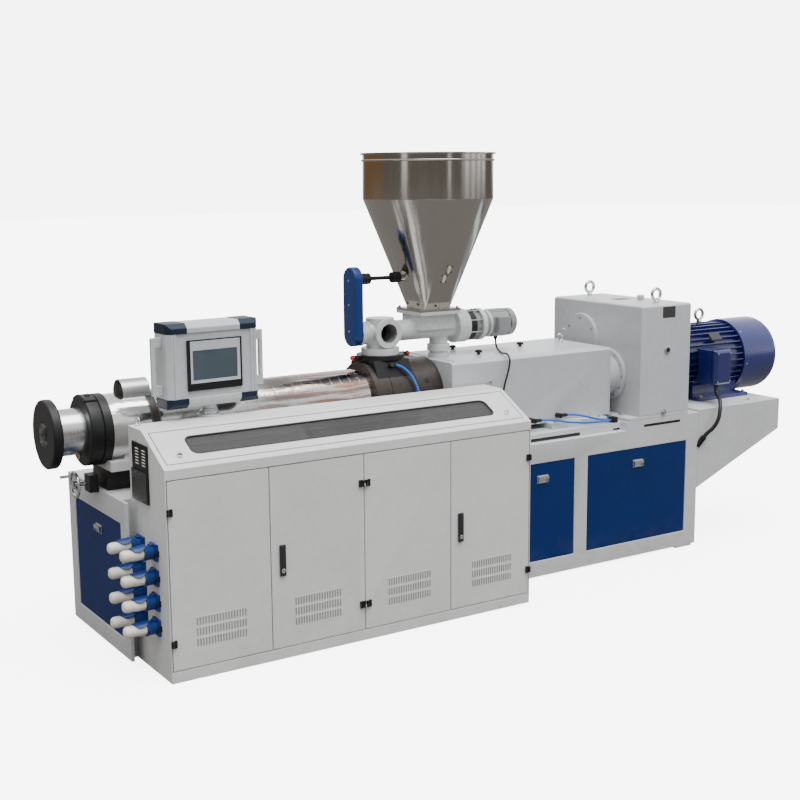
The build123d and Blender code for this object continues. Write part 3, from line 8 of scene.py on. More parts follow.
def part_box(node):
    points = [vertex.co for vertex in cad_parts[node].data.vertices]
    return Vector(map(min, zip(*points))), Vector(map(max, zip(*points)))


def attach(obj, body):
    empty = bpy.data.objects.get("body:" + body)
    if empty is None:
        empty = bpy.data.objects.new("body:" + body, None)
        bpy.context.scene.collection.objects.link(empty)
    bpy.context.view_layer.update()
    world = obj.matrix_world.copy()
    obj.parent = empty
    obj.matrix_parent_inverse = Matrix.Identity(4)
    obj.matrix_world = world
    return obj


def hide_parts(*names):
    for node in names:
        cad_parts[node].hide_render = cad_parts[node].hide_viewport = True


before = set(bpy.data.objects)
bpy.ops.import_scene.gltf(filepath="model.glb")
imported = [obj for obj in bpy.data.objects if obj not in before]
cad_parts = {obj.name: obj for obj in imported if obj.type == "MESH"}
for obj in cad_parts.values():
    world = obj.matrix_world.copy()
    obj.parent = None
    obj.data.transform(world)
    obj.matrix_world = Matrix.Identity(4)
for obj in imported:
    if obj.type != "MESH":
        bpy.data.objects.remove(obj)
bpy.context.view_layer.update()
print("frame loaded:", len(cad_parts), "nodes")

# Sizes and stations are in millimetres; places are vectors in metres
mm = 0.001
left = -1.705  # the base frame's left end; stations run from it along +X
axisHeight = 1000
xWay, yWay, zWay = Matrix.Identity(3)
signs = [(a, b) for a in (-1, 1) for b in (-1, 1)]


def at(station, y, z):
    return Vector((left + station * mm, y * mm, z * mm))


def onRound(station, angle, radius, level=axisHeight):
    # a place on a cylinder along +X and the way out of it; the angle runs from the top to the camera side
    out = Vector((0, -sin(radians(angle)), cos(radians(angle))))
    return at(station, 0, level) + out * (radius * mm), out


def turns(count, start=0.0):
    # angles of equal steps round a circle, from a start in degrees
    return [radians(start + 360 * i / count) for i in range(count)]


def placed(name, data):
    thing = bpy.data.objects.new(name, data)
    bpy.context.scene.collection.objects.link(thing)
    return thing


# Camera, at the place the machine is seen from
camera = {
    "place": (-3.64732, -5.56749, 2.12681),
    "turn": 32.7833,
    "down": 9.9219,
    "roll": -0.3952,
    "lens": 58.35,
    "sensor": 36,
    "reach": 100,
}


def makeCamera(settings):
    turn, down, roll = (radians(settings[key]) for key in ("turn", "down", "roll"))
    ahead = Vector((sin(turn) * cos(down), cos(turn) * cos(down), -sin(down)))
    side = Vector((cos(turn), -sin(turn), 0))
    over = side.cross(ahead)
    right = side * cos(roll) + over * sin(roll)
    up = over * cos(roll) - side * sin(roll)
    data = bpy.data.cameras.new("camera")
    data.lens = settings["lens"]
    data.sensor_width = settings["sensor"]
    data.clip_end = settings["reach"]
    seen = placed("camera", data)
    axes = Matrix((right, up, -ahead)).transposed().to_4x4()
    seen.matrix_world = Matrix.Translation(settings["place"]) @ axes
    bpy.context.scene.camera = seen


makeCamera(camera)
print("camera set")


# A small writer for node trees
class Tree:
    def __init__(self, tree):
        self.tree = tree

    def add(self, kind, **values):
        node = self.tree.nodes.new(kind)
        for key, value in values.items():
            setattr(node, key, value)
        return node

    def put(self, socket, value):
        if isinstance(value, bpy.types.NodeSocket):
            self.tree.links.new(value, socket)
        else:
            socket.default_value = value

    def feed(self, node, **values):
        # inputs by name, with an underscore for each space
        for key, value in values.items():
            self.put(node.inputs[key.replace("_", " ")], value)
        return node

    def calc(self, job, first, second=0.0):
        node = self.add("ShaderNodeMath", operation=job)
        self.put(node.inputs[0], first)
        self.put(node.inputs[1], second)
        return node.outputs[0]

    def times(self, first, second):
        return self.calc("MULTIPLY", first, second)


class Shader(Tree):
    def plus(self, first, second):
        return self.calc("ADD", first, second)

    def place(self):
        return self.add("ShaderNodeTexCoord").outputs["Object"]

    def mapped(self, where, scale):
        return self.feed(self.add("ShaderNodeMapping"), Vector=where, Scale=scale).outputs[0]

    def parts(self, vector):
        return self.feed(self.add("ShaderNodeSeparateXYZ"), Vector=vector).outputs

    def noise(self, where, scale, detail=3.0, rough=0.55):
        node = self.add("ShaderNodeTexNoise")
        return self.feed(node, Vector=where, Scale=scale, Detail=detail, Roughness=rough).outputs[0]

    def ramp(self, value, low, high, outLow=0.0, outHigh=1.0):
        node = self.add("ShaderNodeMapRange", clamp=True)
        for socket, item in zip(node.inputs, (value, low, high, outLow, outHigh)):
            self.put(socket, item)
        return node.outputs[0]

    def scaled(self, vector, share):
        node = self.add("ShaderNodeVectorMath", operation="SCALE")
        self.put(node.inputs[0], vector)
        self.put(node.inputs["Scale"], share)
        return node.outputs[0]

    def blend(self, share, first, second):
        # inputs 6 and 7 and output 2 are the colours of a mix node
        node = self.add("ShaderNodeMix", data_type="RGBA", clamp_factor=True)
        for index, item in ((0, share), (6, first), (7, second)):
            self.put(node.inputs[index], item)
        return node.outputs[2]

    def seen(self):
        return self.add("ShaderNodeLightPath").outputs["Is Camera Ray"]

    def group(self, kind, **values):
        return self.feed(self.add("ShaderNodeGroup", node_tree=groups[kind]), **values).outputs

    def bump(self, body, height, kind, strength=None):
        usual, distance = bumps[kind]
        strength = strength or usual
        node = self.feed(self.add("ShaderNodeBump"), Strength=strength, Distance=distance, Height=height)
        self.feed(body, Normal=node.outputs[0])


# Shader groups for the effects that materials share, the strength and depth of each bump, and dirt
groups = {}
bumps = {
    "paint": (0.12, 0.0006),
    "cast": (0.3, 0.0012),
    "plastic": (0.1, 0.0003),
    "metal": (0.08, 0.0008),
    "sheet": (0.55, 0.009),
}
dirtTints = {
    "scuff": (0.42, 0.40, 0.37, 1),
    "dust": (0.44, 0.41, 0.36, 1),
    "grime": (0.16, 0.14, 0.12, 1),
    "stain": (0.20, 0.17, 0.14, 1),
}


def startGroup(name, inputs, outputs):
    tree = groups[name] = bpy.data.node_groups.new(name, "ShaderNodeTree")
    kinds = {1: "NodeSocketFloat", 3: "NodeSocketVector", 4: "NodeSocketColor"}
    for label, value in inputs.items():
        kind = kinds[len(value) if isinstance(value, tuple) else 1]
        tree.interface.new_socket(label, in_out="INPUT", socket_type=kind).default_value = value
    for label in outputs:
        tree.interface.new_socket(label, in_out="OUTPUT", socket_type=kinds[4 if label == "Colour" else 1])
    s = Shader(tree)
    return s, s.add("NodeGroupInput").outputs, s.add("NodeGroupOutput")


# Paint: orange peel, faint cloudy tone and small scuffs
def paintSurface():
    s, take, give = startGroup(
        "paintSurface",
        {"Colour": (0.6, 0.6, 0.6, 1), "Roughness": 0.4, "Peel Scale": 260.0, "Tone": 0.06, "Scuffs": 0.15},
        ("Colour", "Roughness", "Height"),
    )
    where = s.place()
    cloud = s.noise(where, 2.6, 4.0)
    tone = s.times(s.plus(s.plus(cloud, s.noise(where, 34.0)), -1.0), take["Tone"])
    lifted = s.scaled(take["Colour"], s.ramp(tone, -1.0, 1.0, 0.0, 2.0))
    scratch = s.noise(s.mapped(where, (1.0, 1.0, 0.16)), 46.0, 6.0, 0.75)
    scuff = s.times(s.ramp(scratch, 0.66, 0.74), take["Scuffs"])
    wear = s.plus(s.times(s.plus(cloud, -0.5), 0.18), take["Roughness"])
    s.feed(
        give,
        Colour=s.blend(scuff, lifted, dirtTints["scuff"]),
        Roughness=s.plus(wear, s.times(scuff, 0.3)),
        Height=s.noise(where, take["Peel Scale"], 2.0, 0.5),
    )


# Dust that settles on faces that look up, and grime near the floor
def settledDust():
    s, take, give = startGroup(
        "settledDust", {"Colour": (0.6, 0.6, 0.6, 1), "Dust": 0.2, "Floor Grime": 0.25}, ("Colour", "Mask")
    )
    where = s.place()
    up = s.ramp(s.parts(s.add("ShaderNodeNewGeometry").outputs["Normal"])["Z"], 0.55, 1.0)
    spots = s.ramp(s.noise(where, 11.0, 6.0, 0.7), 0.42, 0.7)
    dust = s.times(s.times(up, spots), take["Dust"])
    low = s.ramp(s.parts(where)["Z"], 0.0, 0.22, 1.0, 0.0)
    grime = s.times(s.times(low, spots), take["Floor Grime"])
    dusty = s.blend(dust, take["Colour"], dirtTints["dust"])
    s.feed(give, Colour=s.blend(grime, dusty, dirtTints["grime"]), Mask=s.calc("MAXIMUM", dust, grime))


# Metal: long tool or rolling marks along one axis, with stains
def brushedMetal():
    s, take, give = startGroup(
        "brushedMetal",
        {"Colour": (0.7, 0.7, 0.7, 1), "Roughness": 0.25, "Stretch": (1.0, 60.0, 60.0), "Stains": 0.2},
        ("Colour", "Roughness", "Height"),
    )
    where = s.place()
    lines = s.noise(s.mapped(where, take["Stretch"]), 9.0, 5.0, 0.65)
    worn = s.times(s.ramp(s.noise(where, 7.0, 6.0, 0.68), 0.48, 0.72), take["Stains"])
    rough = s.plus(take["Roughness"], s.times(s.plus(lines, -0.5), 0.22))
    s.feed(
        give,
        Colour=s.blend(worn, take["Colour"], dirtTints["stain"]),
        Roughness=s.plus(rough, s.times(worn, 0.4)),
        Height=lines,
    )


# Cast skin: coarse sand grain under paint
def castSkin():
    s, take, give = startGroup("castSkin", {"Grain Scale": 140.0, "Depth": 1.0}, ("Height",))
    where = s.place()
    grain = s.plus(s.noise(where, take["Grain Scale"], 4.0, 0.5), s.noise(where, 18.0, 2.0))
    s.feed(give, Height=s.times(grain, take["Depth"]))


# Thin sheet wrapped by hand: soft dents and sharp creases
def sheetCreases():
    s, take, give = startGroup("sheetCreases", {"Dents": 1.0, "Creases": 1.0}, ("Height",))
    bend = s.mapped(s.place(), (1.0, 1.6, 1.6))
    cells = s.add("ShaderNodeTexVoronoi", feature="DISTANCE_TO_EDGE")
    s.feed(cells, Vector=bend, Scale=11.0, Randomness=1.0)
    crease = s.ramp(cells.outputs["Distance"], 0.0, 0.12, 1.0, 0.0)
    dents = s.times(s.noise(bend, 9.0, 3.0, 0.5), take["Dents"])
    s.feed(give, Height=s.plus(dents, s.times(crease, take["Creases"])))


for makeGroup in (paintSurface, settledDust, brushedMetal, castSkin, sheetCreases):
    makeGroup()

# Materials, each kept in looks by its own name
looks = {}


def startMaterial(name, **settings):
    looks[name] = bpy.data.materials.new(name)
    looks[name].use_nodes = True
    s = Shader(looks[name].node_tree)
    return s, s.feed(s.tree.nodes["Principled BSDF"], **settings)


def paint(
    name, tint, roughness, peel=260.0, tone=0.5, scuffs=0.1, dust=0.06, cast=0.0, coat=0.0, shine=0.5
):
    s, body = startMaterial(name, Coat_Weight=coat, Coat_Roughness=0.12, Specular_IOR_Level=shine)
    skin = s.group(
        "paintSurface", Colour=(*tint, 1), Roughness=roughness, Peel_Scale=peel, Tone=tone, Scuffs=scuffs
    )
    dirt = s.group("settledDust", Colour=skin["Colour"], Dust=dust, Floor_Grime=0.2)
    height = skin["Height"]
    if cast:
        height = s.plus(height, s.group("castSkin", Depth=cast)["Height"])
    s.bump(body, height, "cast" if cast else "paint")
    rough = s.plus(skin["Roughness"], s.times(dirt["Mask"], 0.4))
    s.feed(body, Base_Color=dirt["Colour"], Roughness=rough)


def plastic(name, tint, roughness, coat=0.0, shine=0.5):
    s, body = startMaterial(name, Coat_Weight=coat, Specular_IOR_Level=shine)
    skin = s.group(
        "paintSurface", Colour=(*tint, 1), Roughness=roughness, Peel_Scale=420.0, Tone=0.4, Scuffs=0.05
    )
    s.bump(body, skin["Height"], "plastic")
    s.feed(body, Base_Color=skin["Colour"], Roughness=skin["Roughness"])


def metal(name, tint, roughness, stretch, stains, strength=None):
    s, body = startMaterial(name, Metallic=1.0)
    skin = s.group("brushedMetal", Colour=(*tint, 1), Roughness=roughness, Stretch=stretch, Stains=stains)
    s.bump(body, skin["Height"], "metal", strength)
    s.feed(body, Base_Color=skin["Colour"], Roughness=skin["Roughness"])


# Bright sheet round the barrel: soft dents, and brown and red streaks where the heat reaches it
def wrappedSheet(name):
    s, body = startMaterial(name, Metallic=1.0)
    where = s.place()
    heat = s.ramp(s.parts(where)["X"], -1.15, -0.85)
    along = s.mapped(where, (0.7, 9.0, 9.0))
    fine = s.noise(along, 7.0, 4.0, 0.6)
    red = s.blend(s.ramp(fine, 0.46, 0.60), (0.60, 0.58, 0.56, 1), (0.34, 0.13, 0.08, 1))
    streaks = s.ramp(s.noise(along, 2.4, 5.0, 0.6), 0.47, 0.56)
    warm = s.blend(streaks, red, (0.10, 0.082, 0.070, 1))
    tone = s.blend(s.times(heat, 0.85), (0.74, 0.72, 0.70, 1), warm)
    s.feed(body, Base_Color=tone, Roughness=s.ramp(fine, 0.3, 0.7, 0.07, 0.20))
    s.bump(body, s.group("sheetCreases", Creases=0.01, Dents=0.4)["Height"], "sheet")


def litScreen(name):
    s, body = startMaterial(name, Roughness=0.16)
    tone = s.ramp(s.noise(s.place(), 3.0, 2.0), 0.3, 0.7)
    s.feed(body, Base_Color=s.blend(tone, (0.055, 0.075, 0.095, 1), (0.075, 0.098, 0.12, 1)))


allWays = (20.0, 20.0, 20.0)
paint("framePaint", (0.57, 0.575, 0.585), 0.40, tone=0.22)
paint("cabinetPaint", (0.67, 0.67, 0.655), 0.44, peel=340.0, tone=0.16, scuffs=0.03, dust=0.02)
paint("bluePanel", (0.0020, 0.018, 0.110), 0.52, tone=0.4, scuffs=0.02, dust=0.02, shine=0.2)
paint("consoleGrey", (0.86, 0.85, 0.83), 0.45)
paint("housingGrey", (0.53, 0.54, 0.555), 0.30, peel=180.0, tone=0.18, cast=0.12, coat=0.2, dust=0.02)
paint("feederCasting", (0.60, 0.62, 0.61), 0.33, peel=120.0, cast=0.5, coat=0.2)
paint("gearmotorGrey", (0.25, 0.26, 0.26), 0.34, peel=120.0, cast=0.4, coat=0.2)
paint("motorBlue", (0.008, 0.013, 0.12), 0.27, peel=140.0, cast=0.3, coat=0.7)
paint("guardBlue", (0.003, 0.030, 0.155), 0.36, peel=200.0, tone=0.4, coat=0.1, shine=0.4)
paint("screenGrey", (0.50, 0.525, 0.53), 0.38, peel=320.0, tone=0.3, scuffs=0.02)
paint("blackPaint", (0.007, 0.007, 0.0075), 0.44, peel=160.0, tone=0.6, scuffs=0.12, dust=0.02, shine=0.35)
# dark grey: painted shade for the inside of the feeder port's bore
paint("boreSteel", (0.24, 0.24, 0.235), 0.28, tone=1.2, dust=0.02, shine=0.8)
paint("heaterBrown", (0.036, 0.027, 0.022), 0.4, tone=1.0, scuffs=0.2, cast=0.6, dust=0.03, shine=0.4)
plastic("blackPlastic", (0.008, 0.008, 0.009), 0.45, shine=0.35)
plastic("navyPlastic", (0.006, 0.014, 0.034), 0.44, shine=0.3)
plastic("bluePlastic", (0.004, 0.030, 0.165), 0.38, shine=0.4)
plastic("creamPlastic", (0.76, 0.72, 0.63), 0.42)
# pure black without shine: painted shade for the inside of gaps, slits and holes
plastic("openGap", (0.0015, 0.0015, 0.0015), 0.9, shine=0.0)
plastic("redPlastic", (0.42, 0.016, 0.012), 0.22, coat=0.6)
plastic("lockBlack", (0.018, 0.018, 0.02), 0.34, coat=0.2)
plastic("louvreShade", (0.27, 0.27, 0.265), 0.6)
plastic("barePlate", (0.035, 0.034, 0.032), 0.34, coat=0.1)
plastic("screenBlack", (0.006, 0.006, 0.007), 0.22)
plastic("hoseRubber", (0.012, 0.012, 0.013), 0.5)
plastic("blueHose", (0.010, 0.13, 0.55), 0.3, coat=0.3)
metal("brassFitting", (0.55, 0.42, 0.20), 0.32, allWays, 0.3)
metal("brightTrim", (0.62, 0.62, 0.63), 0.3, (1.0, 1.0, 40.0), 0.05)
metal("brightSteel", (0.62, 0.62, 0.62), 0.24, (60.0, 1.0, 1.0), 0.12)
metal("chromeSteel", (0.66, 0.66, 0.67), 0.12, allWays, 0.08)
metal("hopperSteel", (0.50, 0.475, 0.44), 0.13, (24.0, 24.0, 0.6), 0.06, strength=0.12)
metal("zincSteel", (0.50, 0.50, 0.49), 0.34, allWays, 0.25)
wrappedSheet("brightSheet")
startMaterial("windowGlass", Base_Color=(0.12, 0.12, 0.118, 1), Roughness=0.04, Alpha=0.34, IOR=1.49)
litScreen("displayGlass")
print("materials made:", len(looks))

# Looks that have the slot of another; the slot of any other look is its name in small letters
sharedSlots = {
    "guardBlue": "blue_panel",
    "navyPlastic": "blue_panel",
    "blackPaint": "black_steel",
    "openGap": "black_steel",
    "lockBlack": "lock_grey",
    "louvreShade": "cabinet_paint",
    "brassFitting": "bright_steel",
    "boreSteel": "bright_steel",
    "barePlate": "black_plastic",
    "zincSteel": "chrome_steel",
    "displayGlass": "screen_black",
    "hoseRubber": "cable_black",
    "blueHose": "hose_blue",
}


def slotOf(look):
    return sharedSlots.get(look) or "".join("_" + c.lower() if c.isupper() else c for c in look)


# Mesh helpers
def dress(mesh, look, smooth):
    mesh.materials.clear()
    mesh.materials.append(looks[look])
    if smooth:
        mesh.shade_smooth()
        mesh.set_sharp_from_angle(angle=radians(smooth))
    else:
        mesh.shade_flat()


def pieceFrom(name, mesh, look, body="machine", slot=None, nodes=(), smooth=35.0, ease=0, segments=2):
    # smooth is the angle in degrees below which an edge is shaded smooth; ease is a bevel's width
    mesh = mesh.mesh() if isinstance(mesh, Form) else mesh
    piece = placed(name, mesh)
    mesh.name = name
    dress(mesh, look, smooth)
    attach(piece, body)
    slot or slotOf(look)
    if nodes:
        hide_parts(*nodes)
    if ease:
        edge = piece.modifiers.new("edges", "BEVEL")
        edge.width = ease * mm
        edge.segments = segments
        edge.limit_method = "ANGLE"
        edge.angle_limit = radians(32)
        edge.harden_normals = True
        edge.use_clamp_overlap = True
    return piece


def weldedCopy(node):
    form = bmesh.new()
    form.from_mesh(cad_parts[node].data)
    bmesh.ops.remove_doubles(form, verts=form.verts, dist=0.02 * mm)
    return form


def copiedMesh(node):
    form = weldedCopy(node)
    bmesh.ops.dissolve_limit(form, angle_limit=radians(2), verts=form.verts, edges=form.edges)
    return meshOf(form)


def meshOf(form):
    made = bpy.data.meshes.new("form")
    form.to_mesh(made)
    form.free()
    return made


def joined(meshes):
    form = bmesh.new()
    for mesh in meshes:
        form.from_mesh(mesh)
    return meshOf(form)


def crossAxes(axis):
    axis = Vector(axis).normalized()
    across = axis.orthogonal().normalized()
    return axis, across, axis.cross(across)


class Form:
    # Collects simple solids into one mesh; places are in metres, and all sizes in millimetres
    def __init__(self):
        self.data = bmesh.new()

    def corners(self, places):
        return [self.data.verts.new(place) for place in places]

    def weave(self, rows, around=True):
        # faces between neighbouring rows of corners; a row of one corner closes an end
        for first, second in zip(rows, rows[1:]):
            steps = max(len(first), len(second))
            for i in range(steps if around else steps - 1):
                j = (i + 1) % steps
                loop = (first[i % len(first)], first[j % len(first)])
                loop += (second[j % len(second)], second[i % len(second)])
                loop = list(dict.fromkeys(loop))
                if len(loop) > 2:
                    self.data.faces.new(loop)

    def box(self, low, high):
        low, high = Vector(low), Vector(high)
        for corner in bmesh.ops.create_cube(self.data, size=1.0)["verts"]:
            corner.co = (low + high) / 2 + Vector(a * b for a, b in zip(corner.co, high - low))

    def block(self, low, high):
        # a box between two places in millimetres from the frame's left end
        self.box(at(*low), at(*high))

    def lathe(self, outline, start, axis, steps=64):
        # outline is (distance along axis, radius) pairs from end to end; radius 0 closes an end
        axis, across, other = crossAxes(axis)
        rows = []
        for along, radius in outline:
            centre = Vector(start) + axis * (along * mm)
            ways = (across * cos(t) + other * sin(t) for t in turns(steps if radius else 1))
            rows.append(self.corners(centre + way * (radius * mm) for way in ways))
        self.weave(rows)

    def prism(self, points, offset):
        # points are corners in order; offset is the sweep to the far side
        near = self.corners(points)
        far = self.corners(Vector(p) + Vector(offset) * mm for p in points)
        self.data.faces.new(near)
        self.data.faces.new(far[::-1])
        self.weave([near, far])

    def ball(self, centre, radius):
        made = bmesh.ops.create_uvsphere(self.data, u_segments=24, v_segments=14, radius=radius * mm)
        bmesh.ops.translate(self.data, verts=made["verts"], vec=centre)

    def ring(self, centre, axis, radius, wire, steps=40, sides=14):
        axis, across, other = crossAxes(axis)
        rows = []
        for t in turns(steps):
            out = across * cos(t) + other * sin(t)
            hoop = ((out * (radius + wire * cos(k)) + axis * wire * sin(k)) * mm for k in turns(sides))
            rows.append(self.corners(centre + reach for reach in hoop))
        self.weave(rows + rows[:1])

    def screw(self, spot, axis, radius, height):
        rim = height * 0.2
        self.lathe([(0, 0), (0, radius), (rim, radius), (rim, 0)], spot, axis, 20)
        head, top = radius * 0.84, radius * 0.7
        self.lathe([(0, 0), (0, head), (height * 0.9, head), (height, top), (height, 0)], spot, axis, 6)

    def mesh(self):
        bmesh.ops.recalc_face_normals(self.data, faces=self.data.faces)
        return meshOf(self.data)


def screws(name, look, spots, **settings):
    # spots are (place, axis, head radius, head height)
    form = Form()
    for spot in spots:
        form.screw(*spot)
    return pieceFrom(name, form, look, smooth=25.0, **settings)


def plates(name, look, boxes, ease=0.8, **settings):
    form = Form()
    for low, high in boxes:
        form.block(low, high)
    return pieceFrom(name, form, look, ease=ease, **settings)


def turned(name, look, parts, **settings):
    # parts are (outline, place in millimetres, axis, steps)
    form = Form()
    for outline, spot, axis, steps in parts:
        form.lathe(outline, at(*spot), axis, steps)
    return pieceFrom(name, form, look, **settings)


# Geometry Nodes helpers
class Grower(Tree):
    def __init__(self, name, **inputs):
        super().__init__(bpy.data.node_groups.new(name, "GeometryNodeTree"))
        kinds = {int: "NodeSocketInt", float: "NodeSocketFloat", tuple: "NodeSocketVector"}
        face = self.tree.interface
        for key, value in inputs.items():
            label, kind = key.replace("_", " "), kinds[type(value)]
            face.new_socket(label, in_out="INPUT", socket_type=kind).default_value = value
        face.new_socket("Look", in_out="INPUT", socket_type="NodeSocketMaterial")
        face.new_socket("Geometry", in_out="OUTPUT", socket_type="NodeSocketGeometry")
        self.take = self.add("NodeGroupInput").outputs
        self.give = self.add("NodeGroupOutput")

    def make(self, kind, **values):
        return self.feed(self.add("GeometryNode" + kind), **values).outputs[0]

    def vector(self, **values):
        return self.feed(self.add("ShaderNodeCombineXYZ"), **values).outputs[0]

    def close(self, points, instance):
        spread = self.make("InstanceOnPoints", Points=points, Instance=instance)
        real = self.make("RealizeInstances", Geometry=spread)
        self.feed(self.give, Geometry=self.make("SetMaterial", Geometry=real, Material=self.take["Look"]))
        return self.tree


def boltRingTree():
    g = Grower("boltRing", Count=8, Circle_Radius=0.1, Head_Radius=0.01, Head_Height=0.008, Sides=6)
    radius, height = g.take["Head Radius"], g.take["Head Height"]
    circle = g.make("MeshCircle", Vertices=g.take["Count"], Radius=g.take["Circle Radius"])
    washer = g.make("MeshCylinder", Vertices=20, Radius=radius, Depth=g.times(height, 0.25))
    head = g.make("MeshCylinder", Vertices=g.take["Sides"], Radius=g.times(radius, 0.82), Depth=height)
    raised = g.make("Transform", Geometry=head, Translation=g.vector(Z=g.times(height, 0.5)))
    bolt = g.add("GeometryNodeJoinGeometry")
    g.put(bolt.inputs[0], raised)
    g.put(bolt.inputs[0], washer)
    return g.close(circle, bolt.outputs[0])


def slotFieldTree():
    g = Grower("slotField", Columns=10, Rows=3, Pitch=0.014, Row_Pitch=0.05, Slot=(0.005, 0.002, 0.03))
    row = g.make("MeshLine", Count=g.take["Columns"], Offset=g.vector(X=g.take["Pitch"]))
    column = g.make("MeshLine", Count=g.take["Rows"], Offset=g.vector(Z=g.take["Row Pitch"]))
    grid = g.make("InstanceOnPoints", Points=column, Instance=row)
    points = g.make("RealizeInstances", Geometry=grid)
    return g.close(points, g.make("MeshCube", Size=g.take["Slot"]))


def ribRowTree():
    g = Grower("ribRow", Count=10, Pitch=0.05, Radius=0.15, Wire=0.004)
    line = g.make("MeshLine", Count=g.take["Count"], Offset=g.vector(Z=g.take["Pitch"]))
    hoop = g.make("CurvePrimitiveCircle", Resolution=64, Radius=g.take["Radius"])
    section = g.make("CurvePrimitiveCircle", Resolution=10, Radius=g.take["Wire"])
    return g.close(line, g.make("CurveToMesh", Curve=hoop, Profile_Curve=section))


trees = {"boltRing": boltRingTree(), "slotField": slotFieldTree(), "ribRow": ribRowTree()}


def grown(kind, look, spot, axis=zWay, **values):
    # the mesh that a tree grows, set at the spot with its +Z along the axis
    # inputs go by name without spaces, with sizes in millimetres
    host = placed("host", bpy.data.meshes.new("host"))
    mod = host.modifiers.new("grow", "NODES")
    mod.node_group = trees[kind]
    values["Look"] = looks[look]
    for item in trees[kind].interface.items_tree:
        label = item.name.replace(" ", "")
        if item.in_out == "INPUT" and label in values:
            value = values[label]
            if item.socket_type == "NodeSocketFloat":
                value *= mm
            if item.socket_type == "NodeSocketVector":
                value = [part * mm for part in value]
            mod[item.identifier] = value
    graph = bpy.context.evaluated_depsgraph_get()
    mesh = bpy.data.meshes.new_from_object(host.evaluated_get(graph), depsgraph=graph)
    host.modifiers.remove(mod)
    bpy.data.objects.remove(host)
    mesh.transform(Matrix.Translation(spot) @ zWay.rotation_difference(axis).to_matrix().to_4x4())
    return mesh


print("geometry trees made:", len(trees))

# Plain CAD nodes, each with its finish
plainNodes = {
    "sole_plates": "framePaint",
    "console_plate": "consoleGrey",
    "lid_window": "windowGlass",
    "barrel": "heaterBrown",
    "clamp_knobs": "redPlastic",
}
for node, look in plainNodes.items():
    dress(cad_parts[node].data, look, 35)

# Nodes with eased edges: look, width of the edge, and the nodes that share them
easedNodes = (
    ("framePaint", 3, "base_frame barrel_saddle mounting_plinths motor_bracket"),
    ("bluePanel", 2, "infill_panels"),
    ("cabinetPaint", 1, "cabinet_sides"),
    ("cabinetPaint", 1.5, "cabinet_base cabinet_back cabinet_frame"),
    ("cabinetPaint", 2.5, "door_1 door_2 door_3 door_4 lid_frame"),
    ("lockBlack", 3, "door_2_lock door_4_lock"),
    ("blackPlastic", 2, "instrument_plate"),
    ("blackPlastic", 1, "agitator hose_fittings"),
    ("screenGrey", 2, "screen_post"),
    ("screenGrey", 4, "screen_case screen_handles"),
    ("screenBlack", 2, "screen_bezel"),
    ("blackPaint", 2, "die_flange clamp_collar feeder_lantern"),
    ("blackPaint", 3, "slide_blocks throat_saddle"),
    ("brightSteel", 2, "die_neck"),
    ("brightSheet", 0.6, "barrel_shroud"),
    ("zincSteel", 0.6, "cable_bridge"),
    ("heaterBrown", 2, "feed_drum"),
    ("chromeSteel", 0.8, "hand_wheel"),
    ("chromeSteel", 0, "lifting_eyes"),
    ("feederCasting", 3, "feeder_elbow feeder_housing"),
    ("gearmotorGrey", 2, "feeder_gearmotor"),
    ("guardBlue", 3, "chain_guard"),
    ("hopperSteel", 0.8, "hopper_drum hopper_cone"),
    ("housingGrey", 4, "thrust_housing gearbox"),
    ("housingGrey", 3, "coupling_tube"),
    ("motorBlue", 1, "motor_frame"),
    ("motorBlue", 4, "terminal_box"),
)
nodeSlots = {"agitator": "black_steel", "screen_handles": "bright_trim", "cable_bridge": "bright_sheet"}
nodeBodies = {
    "lid_frame": "cabinet_lid",
    "screen_case": "screen",
    "screen_bezel": "screen",
    "screen_handles": "screen",
    "hand_wheel": "wheel",
    "agitator": "agitator_shaft",
}
for look, width, nodes in easedNodes:
    for node in nodes.split():
        # a door and its lock ride on the door's leaf
        body = node[:6] + "_leaf" if node.startswith("door") else nodeBodies.get(node, "machine")
        slot = nodeSlots.get(node)
        pieceFrom(node + "_skin", copiedMesh(node), look, body, slot, [node], ease=width)
print("rows of eased nodes:", len(easedNodes))

